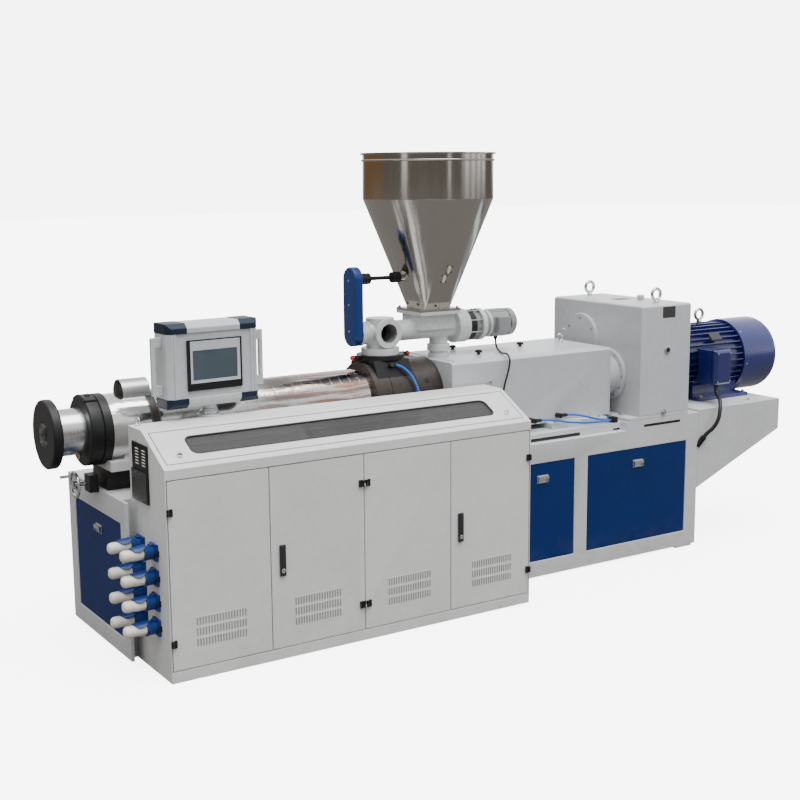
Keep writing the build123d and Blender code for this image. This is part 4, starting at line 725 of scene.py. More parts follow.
# Hoses and cables, on the routes of their solids; lengths and diameters in metres, points in millimetres
cords = {
    "hose_front": {
        "look": "blueHose", "length": 0.274, "diameter": 0.012, "stiffness": "stiff",
        "points": (
            (821, -285, 840), (866.6, -286, 838), (932.7, -308, 824), (993.6, -322, 806),
            (1046.5, -322, 794), (1085, -322, 790),
        ),
    },
    "hose_rear": {
        "look": "blueHose", "length": 0.458, "diameter": 0.012, "stiffness": "stiff",
        "points": (
            (633, -300, 833), (693.3, -302, 830), (793.7, -322, 808), (914.3, -340, 794),
            (1014.6, -340, 789), (1085, -340, 790),
        ),
    },
    "motor_cable": {
        "look": "hoseRubber", "length": 0.405, "diameter": 0.022, "stiffness": "stiff",
        "points": (
            (1911, -322, 892), (1910, -325, 870), (1899, -342, 852), (1869, -384, 848), (1835, -430, 838),
            (1805, -462, 796), (1787, -468, 734), (1763, -450, 684), (1743, -426, 658), (1733, -414, 635),
        ),
    },
    "feeder_cable": {
        "look": "hoseRubber", "length": 0.736, "diameter": 0.010, "stiffness": "medium",
        "points": (
            (554, 0, 1242), (553, -3, 1220), (547, -20, 1201.2), (531, -54, 1190.3), (503, -112, 1187.4),
            (475, -170, 1188.6), (453, -218, 1195.6), (438, -262, 1196.8), (431, -290, 1172.9),
            (426, -290, 1135), (419, -282, 1089.1), (407, -275, 1039.2), (397, -274, 979.4),
            (391, -280, 919.6), (388, -292, 867.8), (387, -312, 831.9), (387, -322, 798),
        ),
    },
    "throat_hose": {
        "look": "blueHose", "length": 0.479, "diameter": 0.014, "stiffness": "stiff",
        "points": (
            (-173, -131, 1178), (-149, -136, 1172.1), (-115, -152, 1146), (-93, -174, 1106.1),
            (-83, -198, 1062), (-79, -212, 1012), (-81, -216, 956), (-85, -232.1, 902), (-85, -246, 850),
            (-85, -245, 802), (-85, -245, 760),
        ),
    },
}


def cordFrom(node, facts):
    route = [tuple(round(v * mm, 4) for v in point) for point in facts["points"]]
    line = bpy.data.curves.new(node + "_line", "CURVE")
    line.dimensions = "3D"
    line.bevel_depth = facts["diameter"] / 2
    line.bevel_resolution = 6
    line.resolution_u = 10
    line.use_fill_caps = True
    spline = line.splines.new("NURBS")
    spline.points.add(len(route) - 1)
    for spot, point in zip(spline.points, route):
        spot.co = (*point, 1)
    spline.order_u = 3
    spline.use_endpoint_u = True
    line.materials.append(looks[facts["look"]])
    piece = placed(node + "_line", line)
    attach(piece, "machine")
    slotOf(facts["look"])
    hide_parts(node)
    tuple(route[0])


for node, facts in cords.items():
    cordFrom(node, facts)
print("hoses and cables:", len(cords))

# Door louvres, three rows of slots on each door, each slot a dark grey plate of painted shade under its own
# small hood
louvres = {
    "grid": {"Columns": 18, "Rows": 3, "Pitch": 13.4, "RowPitch": 47},
    "y": -670.4,
    "starts": {"door_1": 180, "door_2": 655, "door_3": 1146, "door_4": 1625},
    "fields": (
        ("louvre", "louvreShade", (5.2, 2.4, 33), 163),
        ("cabinet", "cabinetPaint", (7.6, 3.2, 3.4), 180.5),
    ),
}
for door, start in louvres["starts"].items():
    for label, look, size, z in louvres["fields"]:
        field = grown("slotField", look, at(start, louvres["y"], z), Slot=size, **louvres["grid"])
        pieceFrom(f"{door}_louvres_{label}", field, look, door + "_leaf", smooth=0)

# Door locks: a raised swing handle and a key cylinder with a slot
lock = {
    "grip": ((4, -2.2, 50), (4, 1, 5)),
    "cylinder": ((0, 0), (0, 10.5), (1.4, 10.5), (2.2, 9.2), (2.2, 5.2), (0.6, 4.8), (0.6, 0)),
    "key": {"z": 24, "half": (1, 5), "out": (1.8, 0.2)},
}
for door in ("door_2", "door_4"):
    low, high = (Vector(corner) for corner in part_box(door + "_lock"))
    (near, front, foot), (far, back, top) = lock["grip"]
    grip = Form()
    corner = Vector((high.x - far * mm, low.y + back * mm, high.z - top * mm))
    grip.box(low + Vector((near, front, foot)) * mm, corner)
    pieceFrom(door + "_grip", grip, "lockBlack", door + "_leaf", ease=1.5, segments=3)
    key = Form()
    centre = Vector(((low.x + high.x) / 2, low.y, low.z + lock["key"]["z"] * mm))
    key.lathe(lock["cylinder"], centre, -yWay, 40)
    (wide, tall), (front, back) = lock["key"]["half"], lock["key"]["out"]
    key.box(centre - Vector((wide, front, tall)) * mm, centre + Vector((wide, -back, tall)) * mm)
    pieceFrom(door + "_key", key, "chromeSteel", door + "_leaf")

# Black covers over the hinges: the lower half stays on the cabinet, the upper half turns with the door
# places and steps are in metres, the knuckle's radius, flat and half length in millimetres
cabinetLow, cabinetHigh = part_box("cabinet_sides")
middleX = (cabinetLow[0] + cabinetHigh[0]) / 2
hinges = {
    "radius": 7.12, "flat": 7.0, "y": -0.677, "heights": (0.162, 0.733), "rise": 0.028, "half": 13.85,
    "leaf": {"x": (0.0073, 0.020), "y": (-0.6790, -0.6702), "z": (-0.002, 0.030)},
    "lines": {
        "door_1": (cabinetLow[0] + 0.007, 1),
        "door_2": (middleX - 0.009, -1),
        "door_3": (middleX + 0.009, 1),
        "door_4": (cabinetHigh[0] - 0.007, -1),
    },
}


def coverKnuckle(form, x, z):
    radius, flat = hinges["radius"] * mm, hinges["flat"] * mm
    loop = [(x + radius * sin(t), hinges["y"] + max(-radius * cos(t), -flat), z) for t in turns(24)]
    form.prism(loop, (0, 0, hinges["half"]))


fixedCovers = Form()
for door, (x, side) in hinges["lines"].items():
    covers, leaf = Form(), hinges["leaf"]
    for z in hinges["heights"]:
        coverKnuckle(fixedCovers, x, z)
        coverKnuckle(covers, x, z + hinges["rise"] - hinges["half"] * mm)
        near, far = sorted(x + side * reach for reach in leaf["x"])
        covers.box((near, leaf["y"][0], z + leaf["z"][0]), (far, leaf["y"][1], z + leaf["z"][1]))
    pieceFrom(door + "_hinge_covers", covers, "blackPlastic", door + "_leaf")
pieceFrom("hinge_covers", fixedCovers, "blackPlastic")
print("cabinet doors dressed")

# Lid: rounded window corners, rubber edge and two wing locks, on the sloping top
lid = {
    "foot": (-670, 927),
    "rise": (241, 130),
    "window": (218, 1813, 80, 201.8),
    "corner": 34,
    "edge": 6,
    "skin": 15.5,
    "locks": (156, 1875),
    "lockUp": 80,
    "lockOutline": ((0, 0), (0, 12.5), (9.4, 12.5), (11.2, 10), (11.2, 0)),
    "wing": ((-9, 10), (9, 10), (11, 19), (-11, 19)),
}
# a black plate set under the window glass: painted shade that darkens part of the window
console = {"x": (150, 1920), "up": (146, 206), "out": -56.5, "thick": 3.4}
slope = Vector((0, *lid["rise"])).normalized()
slopeOut = Vector((0, -slope.z, slope.y))


def onLid(station, up, out=0.0):
    return at(station, *lid["foot"]) + (slope * up + slopeOut * out) * mm


def roundedLoop(limits, radius, steps=10):
    # corners of a rounded rectangle, in order round it
    x0, x1, s0, s1 = limits
    left, right, low, high = x0 + radius, x1 - radius, s0 + radius, s1 - radius
    loop = []
    for x, up, first in ((right, high, 0), (left, high, 90), (left, low, 180), (right, low, 270)):
        for i in range(steps + 1):
            t = radians(first + 90 * i / steps)
            loop.append((x + radius * cos(t), up + radius * sin(t)))
    return loop


def lidWindowCorners():
    x0, x1, s0, s1 = lid["window"]
    form = Form()
    loop = roundedLoop(lid["window"], lid["corner"])
    each = len(loop) // 4
    for k, corner in enumerate(((x1, s1), (x0, s1), (x0, s0), (x1, s0))):
        arc = [corner, *loop[k * each : (k + 1) * each]]
        form.prism([onLid(x, up, -0.15) for x, up in arc], -slopeOut * lid["skin"])
    pieceFrom("lid_window_corners", form, "cabinetPaint", "cabinet_lid")


def lidWindowEdge():
    x0, x1, s0, s1 = lid["window"]
    corner, edge = lid["corner"], lid["edge"]
    outer = roundedLoop((x0 - 1, x1 + 1, s0 - 1, s1 + 1), corner + 1)
    inner = roundedLoop((x0 + edge, x1 - edge, s0 + edge, s1 - edge), corner - edge)
    form = Form()
    rows = []
    for loop, out in ((outer, 1.4), (inner, 1.4), (inner, -6.0), (outer, -1.0)):
        rows.append(form.corners(onLid(x, up, out) for x, up in loop))
    form.weave(rows + rows[:1])
    pieceFrom("lid_window_edge", form, "hoseRubber", "cabinet_lid", "black_plastic")


def lidLocks():
    form = Form()
    for station in lid["locks"]:
        form.lathe(lid["lockOutline"], onLid(station, lid["lockUp"]), slopeOut, 32)
        form.prism([onLid(station + a, lid["lockUp"] - 2, out) for a, out in lid["wing"]], slope * 4)
    pieceFrom("lid_locks", form, "chromeSteel", "cabinet_lid", ease=0.8)


# the black plate under the window is painted shade for the shaded inside of the cabinet
def windowShadeStrip():
    (x0, x1), (s0, s1) = console["x"], console["up"]
    form = Form()
    foot = [onLid(x, up, console["out"]) for x, up in ((x0, s0), (x1, s0), (x1, s1), (x0, s1))]
    form.prism(foot, -slopeOut * console["thick"])
    pieceFrom("window_shade_strip", form, "blackPlastic", ease=1)


lidWindowCorners()
lidWindowEdge()
lidLocks()
windowShadeStrip()

# Instrument panel on the cabinet's side, the ring on its top, and the foot of the screen's post
marks = [(-484 + 74 * i, 978 - 13 * k) for i in range(2) for k in range(6)]
plates("instrument_marks", "creamPlastic", [((46.6, y, z), (49.6, y + 34, z - 4)) for y, z in marks], 0.4)
plates("instrument_door", "screenBlack", [((42.5, -500, 748), (49.5, -332, 884))], 1.5, slot="black_plastic")
cabinetEye = Form()
cabinetEye.ring(at(87, -317, 1078), (1, 0.3, 0), 13, 3.5)
cabinetEye.lathe([(0, 0), (0, 11), (6, 9), (10, 5), (10, 0)], at(87, -317, 1057), zWay, 24)
pieceFrom("cabinet_eye", cabinetEye, "chromeSteel")
screen = {
    "foot": (452, -262),
    "z": 1299,
    "turn": 3.6,
    "half": (227.5, 187.5),
    "depth": 130,
    "rim": 21,
    "proud": 1.5,
    "cap": (98, 46),
    "glass": (111, 66),
    "pale": (-122, -80, 126, 107),
    "seam": (199, 1.2, 151),
    "footScrews": 44,
}
post = Form()
for t in turns(4, 45):
    x, y = screen["foot"]
    spot = at(x + screen["footScrews"] * cos(t), y + screen["footScrews"] * sin(t), 1065)
    post.screw(spot, zWay, 6.5, 9)
post.lathe([(0, 36), (0, 40.5), (10, 40.5), (13, 36)], at(*screen["foot"], 1072), zWay, 48)
pieceFrom("screen_post_screws", post, "zincSteel")
print("cabinet top dressed")

# Wall sockets with leaf-shaped flaps, and the plugs in them
socket = {
    "columns": (-536, -389),
    "rows": (220, 331, 441, 552),
    "wall": 57,
    "plate": 36,
    "barrel": ((0, 0), (0, 30), (8, 31), (30, 31), (34, 33), (46, 33), (46, 28.5), (40, 28), (40, 0)),
    "flap": {"reach": 66, "inner": 27.6, "wall": 4, "lift": 7, "cup": 62, "steps": 12},
}
plug = {
    "ears": 24,
    "body": (
        (0, 0), (0, 25), (38, 26.6), (42, 25.2), (50, 24.8), (78, 25.2), (88, 23.6), (94, 19.5),
        (97.2, 13), (98, 7), (96, 6.4), (96, 0),
    ),
}


def addFlap(form, root, flap):
    # a cupped leaf over the plug, narrow at its root and tip
    steps, loops = flap["steps"], []
    for i in range(steps + 1):
        share = i / steps
        half = radians(flap["cup"]) * (0.30 + 0.70 * sin(pi * (0.10 + 0.80 * share)))
        half *= 1 if share < 0.8 else 1 - 0.65 * (share - 0.8) / 0.2
        angles = [half * (2 * k / steps - 1) for k in range(steps + 1)]
        rows = []
        for thick in (0, flap["wall"]):
            reach = flap["inner"] + thick + flap["lift"] * (1 - share)
            arc = (Vector((-flap["reach"] * share, reach * sin(t), reach * cos(t))) for t in angles)
            rows.append(form.corners(root + spot * mm for spot in arc))
        loops.append(rows[1] + rows[0][::-1])
        if i in (0, steps):
            form.weave(rows, around=False)
    form.weave(loops)


def socketForm():
    form = Form()
    wall, half = socket["wall"], socket["plate"]
    for y in socket["columns"]:
        for z in socket["rows"]:
            form.block((wall - 12, y - half, z - half), (wall, y + half, z + half))
            form.lathe(socket["barrel"], at(wall - 12, y, z), -xWay, 48)
            form.block((wall - 30, y - 12, z + 26), (wall - 12, y + 12, z + 36.5))
            addFlap(form, at(wall - 50, y, z), socket["flap"])
            form.block((wall - 60, y - 9, z + 29), (wall - 46, y + 9, z + 37))
    return form


def plugForm():
    form = Form()
    wall = socket["wall"]
    for y in socket["columns"]:
        for z in socket["rows"]:
            form.lathe(plug["body"], at(wall - 58, y, z), -xWay, 48)
            for ear in (y - plug["ears"], y + plug["ears"]):
                form.block((wall - 88, ear - 2.4, z - 7), (wall - 60, ear + 2.4, z + 7))
    return form


pieceFrom("sockets_skin", socketForm(), "bluePlastic", nodes=["sockets"], ease=1.8)
pieceFrom("plugs_skin", plugForm(), "creamPlastic", nodes=["plugs"], smooth=50.0, ease=0.8)
tabs = [((50, -582, z - 12), (57, -570, z + 12)) for z in socket["rows"]]
tabs += [((38, -580, z - 4), (51, -573, z + 5)) for z in socket["rows"]]
plates("socket_latches", "blackPlastic", tabs, 1)
print("sockets dressed")


# Bent pulls on the blue panels: a plate, a hood over the fingers and two cheeks
def islandsOf(form):
    # the limits of each loose solid of a mesh
    rest = set(form.verts)
    while rest:
        group, stack = set(), [next(iter(rest))]
        while stack:
            vert = stack.pop()
            if vert not in group:
                group.add(vert)
                stack += [edge.other_vert(vert) for edge in vert.link_edges]
        rest -= group
        yield [Vector([pick(v.co[k] for v in group) for k in range(3)]) for pick in (min, max)]


def pullForm():
    form, solids = Form(), weldedCopy("panel_pulls")
    for low, high in islandsOf(solids):
        deep = 0 if high.x - low.x < high.y - low.y else 1
        out = -1 if (low + high)[deep] < 0 else 1
        wide = 1 - deep
        root = high[deep] if out < 0 else low[deep]
        width = (high[wide] - low[wide]) / mm
        slabs = [
            (0, width, 0, 42, 0, 1.5),
            (4, width - 4, 34, 37, 1.4, 14),
            (4, width - 4, 22, 35, 12.2, 14),
            (4, width - 4, 4, 6, 1.4, 5),
            (4, 6, 5, 35, 1.4, 12.5),
            (width - 6, width - 4, 5, 35, 1.4, 12.5),
        ]
        # each slab runs along the panel, up it and out of it, from and to
        for along0, along1, up0, up1, out0, out1 in slabs:
            ends = []
            for along, up, reach in ((along0, up0, out0), (along1, up1, out1)):
                end = Vector((0, 0, low.z + up * mm))
                end[wide], end[deep] = low[wide] + along * mm, root + out * reach * mm
                ends.append(end)
            form.box([min(pair) for pair in zip(*ends)], [max(pair) for pair in zip(*ends)])
    solids.free()
    return form


pieceFrom("panel_pulls_skin", pullForm(), "brightTrim", nodes=["panel_pulls"], ease=0.6)
print("pulls made")

# Operator screen: corner caps, pale inner frame, display glass and seams
turn = radians(screen["turn"])
screenOut = Vector((sin(turn), -cos(turn), 0))
screenAxes = Matrix(((cos(turn), 0, sin(turn)), (sin(turn), 0, -cos(turn)), (0, 1, 0))).to_4x4()
screenFront = at(*screen["foot"], screen["z"]) + screenOut * screen["depth"] / 2 * mm
screenFrame = Matrix.Translation(screenFront) @ screenAxes


def capMesh(signX, signY):
    proud, rim = screen["proud"], screen["rim"]
    wide, tall = (half + proud for half in screen["half"])
    form = Form()
    rings = []
    for depth, inset in ((proud, rim), (-rim, 0), (-screen["depth"] - proud, 0)):
        w, t = wide - inset, tall - inset
        ring = ((-w, -t), (w, -t), (w, t), (-w, t))
        rings.append(form.corners(Vector((x, y, depth)) * mm for x, y in ring))
    form.data.faces.new(rings[0])
    form.data.faces.new(rings[2][::-1])
    form.weave(rings)
    for plane, keep in ((xWay * signX, wide - screen["cap"][0]), (yWay * signY, tall - screen["cap"][1])):
        parts = form.data.verts[:] + form.data.edges[:] + form.data.faces[:]
        where = {"plane_co": plane * keep * mm, "plane_no": plane}
        cut = bmesh.ops.bisect_plane(form.data, geom=parts, clear_inner=True, **where)
        rim = [edge for edge in cut["geom_cut"] if isinstance(edge, bmesh.types.BMEdge)]
        bmesh.ops.contextual_create(form.data, geom=rim)
    return form.mesh()


def onScreen(name, look, mesh, ease, **settings):
    mesh.transform(screenFrame)
    pieceFrom(name, mesh, look, "screen", ease=ease, **settings)


def boxMesh(boxes):
    form = Form()
    for low, high in boxes:
        form.box(Vector(low) * mm, Vector(high) * mm)
    return form.mesh()


onScreen("screen_caps", "navyPlastic", joined(capMesh(*pair) for pair in signs), 3, segments=3)
wide, tall = screen["glass"]
x0, y0, x1, y1 = screen["pale"]
paleFrame = [(x0, tall, x1, y1), (x0, y0, x1, -tall), (x0, -tall, -wide, tall), (wide, -tall, x1, tall)]
paleFrame = [((a, b, 3.5), (c, d, 5.2)) for a, b, c, d in paleFrame]
onScreen("screen_inner_frame", "screenGrey", boxMesh(paleFrame), 0.8, slot="bright_trim")
onScreen("screen_glass", "displayGlass", boxMesh([((-wide, -tall, 1.5), (wide, tall, 3.0))]), 0.4)
x, half, tall = screen["seam"]
seams = [((s * x - half, -tall, -20), (s * x + half, tall, 0.6)) for s in (-1, 1)]
onScreen("screen_seams", "louvreShade", boxMesh(seams), 0.4, slot="screen_grey")
print("screen dressed")

# Barrel line: bands round the sheet and drum as (first station, count, pitch), radius and wire
bands = {
    "shroud_beads": ("brightSheet", ((345, 1, 10), (700, 13, 53)), 154.9, 1.0),
    "shroud_hems": ("heaterBrown", ((4, 1, 10), (222, 1, 10), (265, 1, 10)), 154.6, 2.0),
    # the drum seams are pure black hoops: painted shade in the seams
    "drum_seams": ("openGap", ((1488, 1, 10), (1640, 1, 10)), 185.6, 1.4),
}
for name, (look, rows, radius, wire) in bands.items():
    hoops = []
    for first, count, pitch in rows:
        sizes = {"Count": count, "Pitch": pitch, "Radius": radius, "Wire": wire}
        hoops.append(grown("ribRow", look, at(first, 0, axisHeight), xWay, **sizes))
    pieceFrom(name, joined(hoops), look, smooth=60.0)


collar = {
    "radius": 160,
    "slit": (-61.5, 28.5, 61),
    "screws": ((-31, 9), (-31, -30)),
    "screw": ((0, 0), (0, 12.5), (6.2, 12.5), (6.2, 9), (3.5, 8.8), (3.5, 0)),
    "block": (-60, 54, range(-34, 28, 4), (163, 158.5)),
}


# the slit and the screws in it are pure black: painted shade for the inside of the slit
def collarSlit():
    form = Form()
    first, angle, length = collar["slit"]
    spot, out = onRound(first, angle, collar["radius"] - 3)
    side = Vector((0, -out.z, out.y))
    section = ((-2.6, 0), (-2.6, 3.6), (2.6, 3.6), (2.6, 0))
    form.prism([spot + (side * a + out * b) * mm for a, b in section], (length, 0, 0))
    for station, angle in collar["screws"]:
        form.lathe(collar["screw"], *onRound(station, angle, collar["radius"] - 2), 28)
    pieceFrom("collar_slit", form, "openGap")


def collarBlock():
    form = Form()
    station, length, angles, radii = collar["block"]
    over, under = ([onRound(station, angle, radius)[0] for angle in angles] for radius in radii)
    form.prism(over + under[::-1], (length, 0, 0))
    pieceFrom("collar_block", form, "blackPaint", ease=1)


collarSlit()
collarBlock()
dieWall = [(0.5, 58), (0.5, 57.9), (44.6, 57.9), (44.6, 40.2), (44.9, 40.2), (44.9, 58)]
turned("die_liner", "brightSteel", [(dieWall, (-230, 0, axisHeight), xWay, 64)], smooth=30.0)
nipple = [(0, 0), (0, 11), (10, 11), (11, 8), (24, 8), (24, 0)]
turned("neck_fitting", "brassFitting", [(nipple, (-86, -34, 902), -zWay, 6)])
# the hole in the drum is a pure black disc: painted shade for its inside
drumHole = Form()
drumHole.lathe([(0, 0), (0, 11), (1.6, 11), (1.6, 8), (0.4, 8), (0.4, 0)], *onRound(1700, 62, 185), 24)
pieceFrom("drum_hole", drumHole, "openGap")
print("barrel line dressed")

# Hopper: bead under the rim, sight glass with its screws, flange bolts
hopper = {
    "station": 1822,
    "beadZ": 2191,
    "bead": {"Count": 1, "Pitch": 10, "Radius": 336.5, "Wire": 5.5},
    "slopeSize": (252, 558),
    "foot": (1822, -82, 1440),
    "sights": ((10, 224), (-6, 172)),
    "sightHalf": (9, 20),
    "sightScrews": (15, 18),
    "flange": (110, 104, 1440),
}
bead = grown("ribRow", "hopperSteel", at(hopper["station"], 0, hopper["beadZ"]), **hopper["bead"])
pieceFrom("hopper_bead", bead, "hopperSteel", smooth=60.0)
lean, climb = hopper["slopeSize"]
upCone, coneOut = Vector((0, -lean, climb)).normalized(), Vector((0, -climb, -lean)).normalized()


def onCone(across, up, out=0.0):
    return at(*hopper["foot"]) + (xWay * across + upCone * up + coneOut * out) * mm


sightGlass, sightScrews = Form(), []
wide, tall = hopper["sightHalf"]
for x, up in hopper["sights"]:
    # a slot with round ends
    loop = []
    for t in turns(28):
        end = (tall - wide) * (1 if sin(t) >= 0 else -1)
        loop.append(onCone(x + wide * cos(t), up + end + wide * sin(t), -1))
    sightGlass.prism(loop, coneOut * 2.6)
    sideways, upward = hopper["sightScrews"]
    sightScrews += [(onCone(x + a * sideways, up + b * upward), coneOut, 3.4, 3.5) for a, b in signs]
pieceFrom("sight_glass", sightGlass, "creamPlastic")
screws("sight_glass_screws", "blackPaint", sightScrews)
x, y, z = hopper["flange"]
ring = [(a * x, b * y) for a in (-1, 0, 1) for b in (-1, 0, 1) if a or b]
screws("hopper_bolts", "zincSteel", [(at(hopper["station"] + a, b, z), zWay, 8.5, 9) for a, b in ring])
print("hopper dressed")

# Feeder: flanges, studs of the lantern, motor terminal box, ribs and seam, guard rivets, port and bearing
feeder = {
    "z": 1332,
    "studs": (2036, 87, 81),
    "ribs": (2196, 108, 74.5, (160, 128, 96, 64, 32, 20, -12, -44, -76, -108)),
    "seam": (2305.5, 71.5),
    "port": (1525, 62, 6),
}
level = feeder["z"]
flange = [(0, 60), (0, 83), (2, 85), (26, 85), (28, 83), (28, 60)]
neck = [(0, 60), (0, 71.5), (10, 73.5), (12, 60)]
parts = [(flange, (2122, 0, level), xWay, 64), (neck, (2180, 0, level), xWay, 64)]
turned("reducer_flange", "feederCasting", parts)
studs = Form()
first, length, radius = feeder["studs"]
for i in range(8):
    spot = onRound(first, 22.5 + 45 * i, radius, level)[0]
    studs.lathe([(0, 0), (0, 3.5), (length, 3.5), (length, 0)], spot, xWay, 12)
    studs.screw(spot + xWay * 4 * mm, xWay, 7, 7)
    studs.screw(spot + xWay * 86 * mm, -xWay, 7, 7)
pieceFrom("lantern_studs", studs, "zincSteel", smooth=25.0)
plates("feeder_terminal_box", "gearmotorGrey", [((2208, -100, 1290), (2290, -58, 1372))], 4)
motorRibs = Form()
first, length, radius, angles = feeder["ribs"]
for angle in angles:
    spot = onRound(first, angle, radius, level)[0]
    motorRibs.box(spot - Vector((0, 2, 2)) * mm, spot + Vector((length, 2, 2)) * mm)
pieceFrom("feeder_motor_ribs", motorRibs, "gearmotorGrey")
seam = Form()
seam.lathe([(0, 66), (0, 73.2), (5.6, 73.2), (5.6, 66)], at(2308.2, 0, level), xWay)
first, radius = feeder["seam"]
for angle in range(0, 360, 30):
    seam.lathe([(0, 0), (0, 4), (4, 4), (4, 0)], *onRound(first, angle, radius, level), 8)
pieceFrom("feeder_motor_seam", seam, "blackPlastic")
screws("guard_rivets", "chromeSteel", [(at(1345, 4, z), -xWay, 5.5, 3) for z in (1347, 1478, 1600)])
x, radius, count = feeder["port"]
ring = [at(x + radius * cos(t), -88, level + radius * sin(t)) for t in turns(count, 30)]
screws("port_screws", "feederCasting", [(spot, -yWay, 4, 2.5) for spot in ring])
# a dark grey sleeve in the port's bore: painted shade for the inside of the bore
wall = [(0, 48), (0, 47.9), (109.4, 47.9), (109.4, 0)]
turned("port_liner", "boreSteel", [(wall, (x, -87.4, level), yWay, 64)], smooth=30.0)
outer, inner = [(0, 50), (0, 62), (18, 62), (22, 57), (22, 50)], [(0, 50), (0, 58), (12, 60), (16, 50)]
parts = [(outer, (1392, 0, level), xWay, 64), (inner, (1436, 0, level), xWay, 64)]
turned("screw_bearing", "feederCasting", parts)
print("feeder dressed")

# Lobed oil caps, each on a stub, with a raised disc on top
knob = {
    "places": ((2088, -80, 1181), (2088, 158, 1181), (2461, 43, 1181)),
    "stub": ((0, 0), (0, 12), (3, 12), (4, 8), (10, 8), (10, 0)),
    "disc": ((0, 0), (0, 13), (2.4, 11), (2.4, 0)),
    "radius": 18.6,
    "lobes": (6, 1.4),
    "head": (9.8, 12),
}


def knobForm():
    form = Form()
    (lobes, deep), (foot, height) = knob["lobes"], knob["head"]
    for x, y, z in knob["places"]:
        form.lathe(knob["stub"], at(x, y, z), zWay, 24)
        loop = []
        for t in turns(60):
            reach = knob["radius"] + deep * cos(lobes * t)
            loop.append(at(x + reach * cos(t), y + reach * sin(t), z + foot))
        form.prism(loop, (0, 0, height))
        form.lathe(knob["disc"], at(x, y, z + 21.6), zWay, 24)
    return form


pieceFrom("oil_knobs", knobForm(), "blackPlastic", nodes=["oil_caps"], ease=2)

# Housing and gearbox: breather, ring and ball, cover bolts, boss, sight glass and drain plug
breather = (3208, -110, 1407)
nut = [(0, 0), (0, 19), (10, 19), (10, 0)]
cap = [(10, 0), (10, 21.5), (24, 21.5), (29, 17), (30, 0)]
turned("breather_cap", "housingGrey", [(nut, breather, zWay, 6), (cap, breather, zWay, 32)])
housingRing = Form()
housingRing.ring(at(2022, -264, 1049), (0.2, 1, 0), 17, 1.6)
housingRing.ball(at(2031, -264, 1067), 7)
pieceFrom("housing_ring", housingRing, "zincSteel")
boltRings = []
for spot, count, circle, head in (((2932, 90, 1195), 6, 109, 7.5), ((2926, -147, 1010), 12, 127, 7)):
    sizes = {"Count": count, "CircleRadius": circle, "HeadRadius": head, "HeadHeight": 4}
    boltRings.append(grown("boltRing", "zincSteel", at(*spot), -xWay, **sizes))
pieceFrom("gearbox_bolts", joined(boltRings), "zincSteel", smooth=30.0)
boss = [(0, 0), (0, 44), (12, 44), (15, 41), (15, 0)]
turned("gearbox_boss", "housingGrey", [(boss, (2952, 254, 1185), -xWay, 48)])
eye = [(0, 0), (0, 21), (6, 21), (8, 18), (8, 13), (4, 12), (4, 0)]
drain = [(0, 0), (0, 19), (6, 19), (6, 11), (16, 11), (16, 0)]
parts = [(eye, (3148, -394, 1154), -yWay, 36), (drain, (3132, -394, 808), -yWay, 6)]
turned("gearbox_plugs", "chromeSteel", parts, smooth=28.0)
pane = [(0, 0), (0, 12), (1.5, 10.5), (1.5, 0)]
turned("gearbox_sight", "screenBlack", [(pane, (3148, -398.2, 1154), -yWay, 28)], slot="black_plastic")

# Bare plates, black plates of painted shade for the slots in the frame's deck, and the bolts of all feet as
# (x, y, z, radius, height)
bareBoxes = [((3109, -395.6, 1334), (3202, -393.5, 1395)), ((3099, -49, 1406.5), (3199, 26, 1408.2))]
plates("bare_plates", "barePlate", bareBoxes, 0.6)
# the slot plates are black, painted shade for the inside of the slots
slotBoxes = [((2990, -394.6, 738), (3264, -392, 752)), ((2231, -350.6, 733), (2566, -348, 750))]
slotBoxes += [((2802, -350.6, 734), (2850, -348, 744))]
plates("frame_slots", "screenBlack", slotBoxes, 0.6, slot="black_steel")
feet = [(2912, y, 798, 15, 16) for y in (-290, 290)]
feet += [(x, y, 805, 12, 9) for x in (2040, 2170, 2450, 2760) for y in (-280, 280)]
feet += [(x, y, 814, 12, 12) for x in (3630, 3985) for y in (-190, 190)]
feet += [(3887, y, 792, 11, 7) for y in (-323, 323)]
screws("foot_bolts", "zincSteel", [(at(x, y, z), zWay, radius, height) for x, y, z, radius, height in feet])
print("housings dressed")

# Motor cowl with its grille, cowl screws, bare plate and terminal box screws
cowl = {
    "start": 3962, "end": 4268, "z": 1017, "radius": 220, "round": 60, "mouth": 158, "dish": 7,
    "hoops": range(28, 156, 14), "spokes": range(-90, 270, 60),
    "hub": ((0, 0), (0, 28), (5, 27), (6, 0)),
    "screws": (98, 45, -10, -60, -115, -165),
}


def cowlForm():
    length, radius, edge = cowl["end"] - cowl["start"], cowl["radius"], cowl["round"]
    outline = [(0, 0), (0, radius), (3, radius), (length - edge, radius)]
    for i in range(1, 11):
        t = radians(90 * i / 10)
        outline.append((length - edge + edge * sin(t), radius - edge + edge * cos(t)))
    foot = length - cowl["dish"]
    outline += [(length, cowl["mouth"]), (foot, cowl["mouth"] - 2), (foot, 0)]
    form = Form()
    form.lathe(outline, at(cowl["start"], 0, cowl["z"]), xWay, 96)
    return form


def onCowl(inset):
    return at(cowl["end"] - inset, 0, cowl["z"])


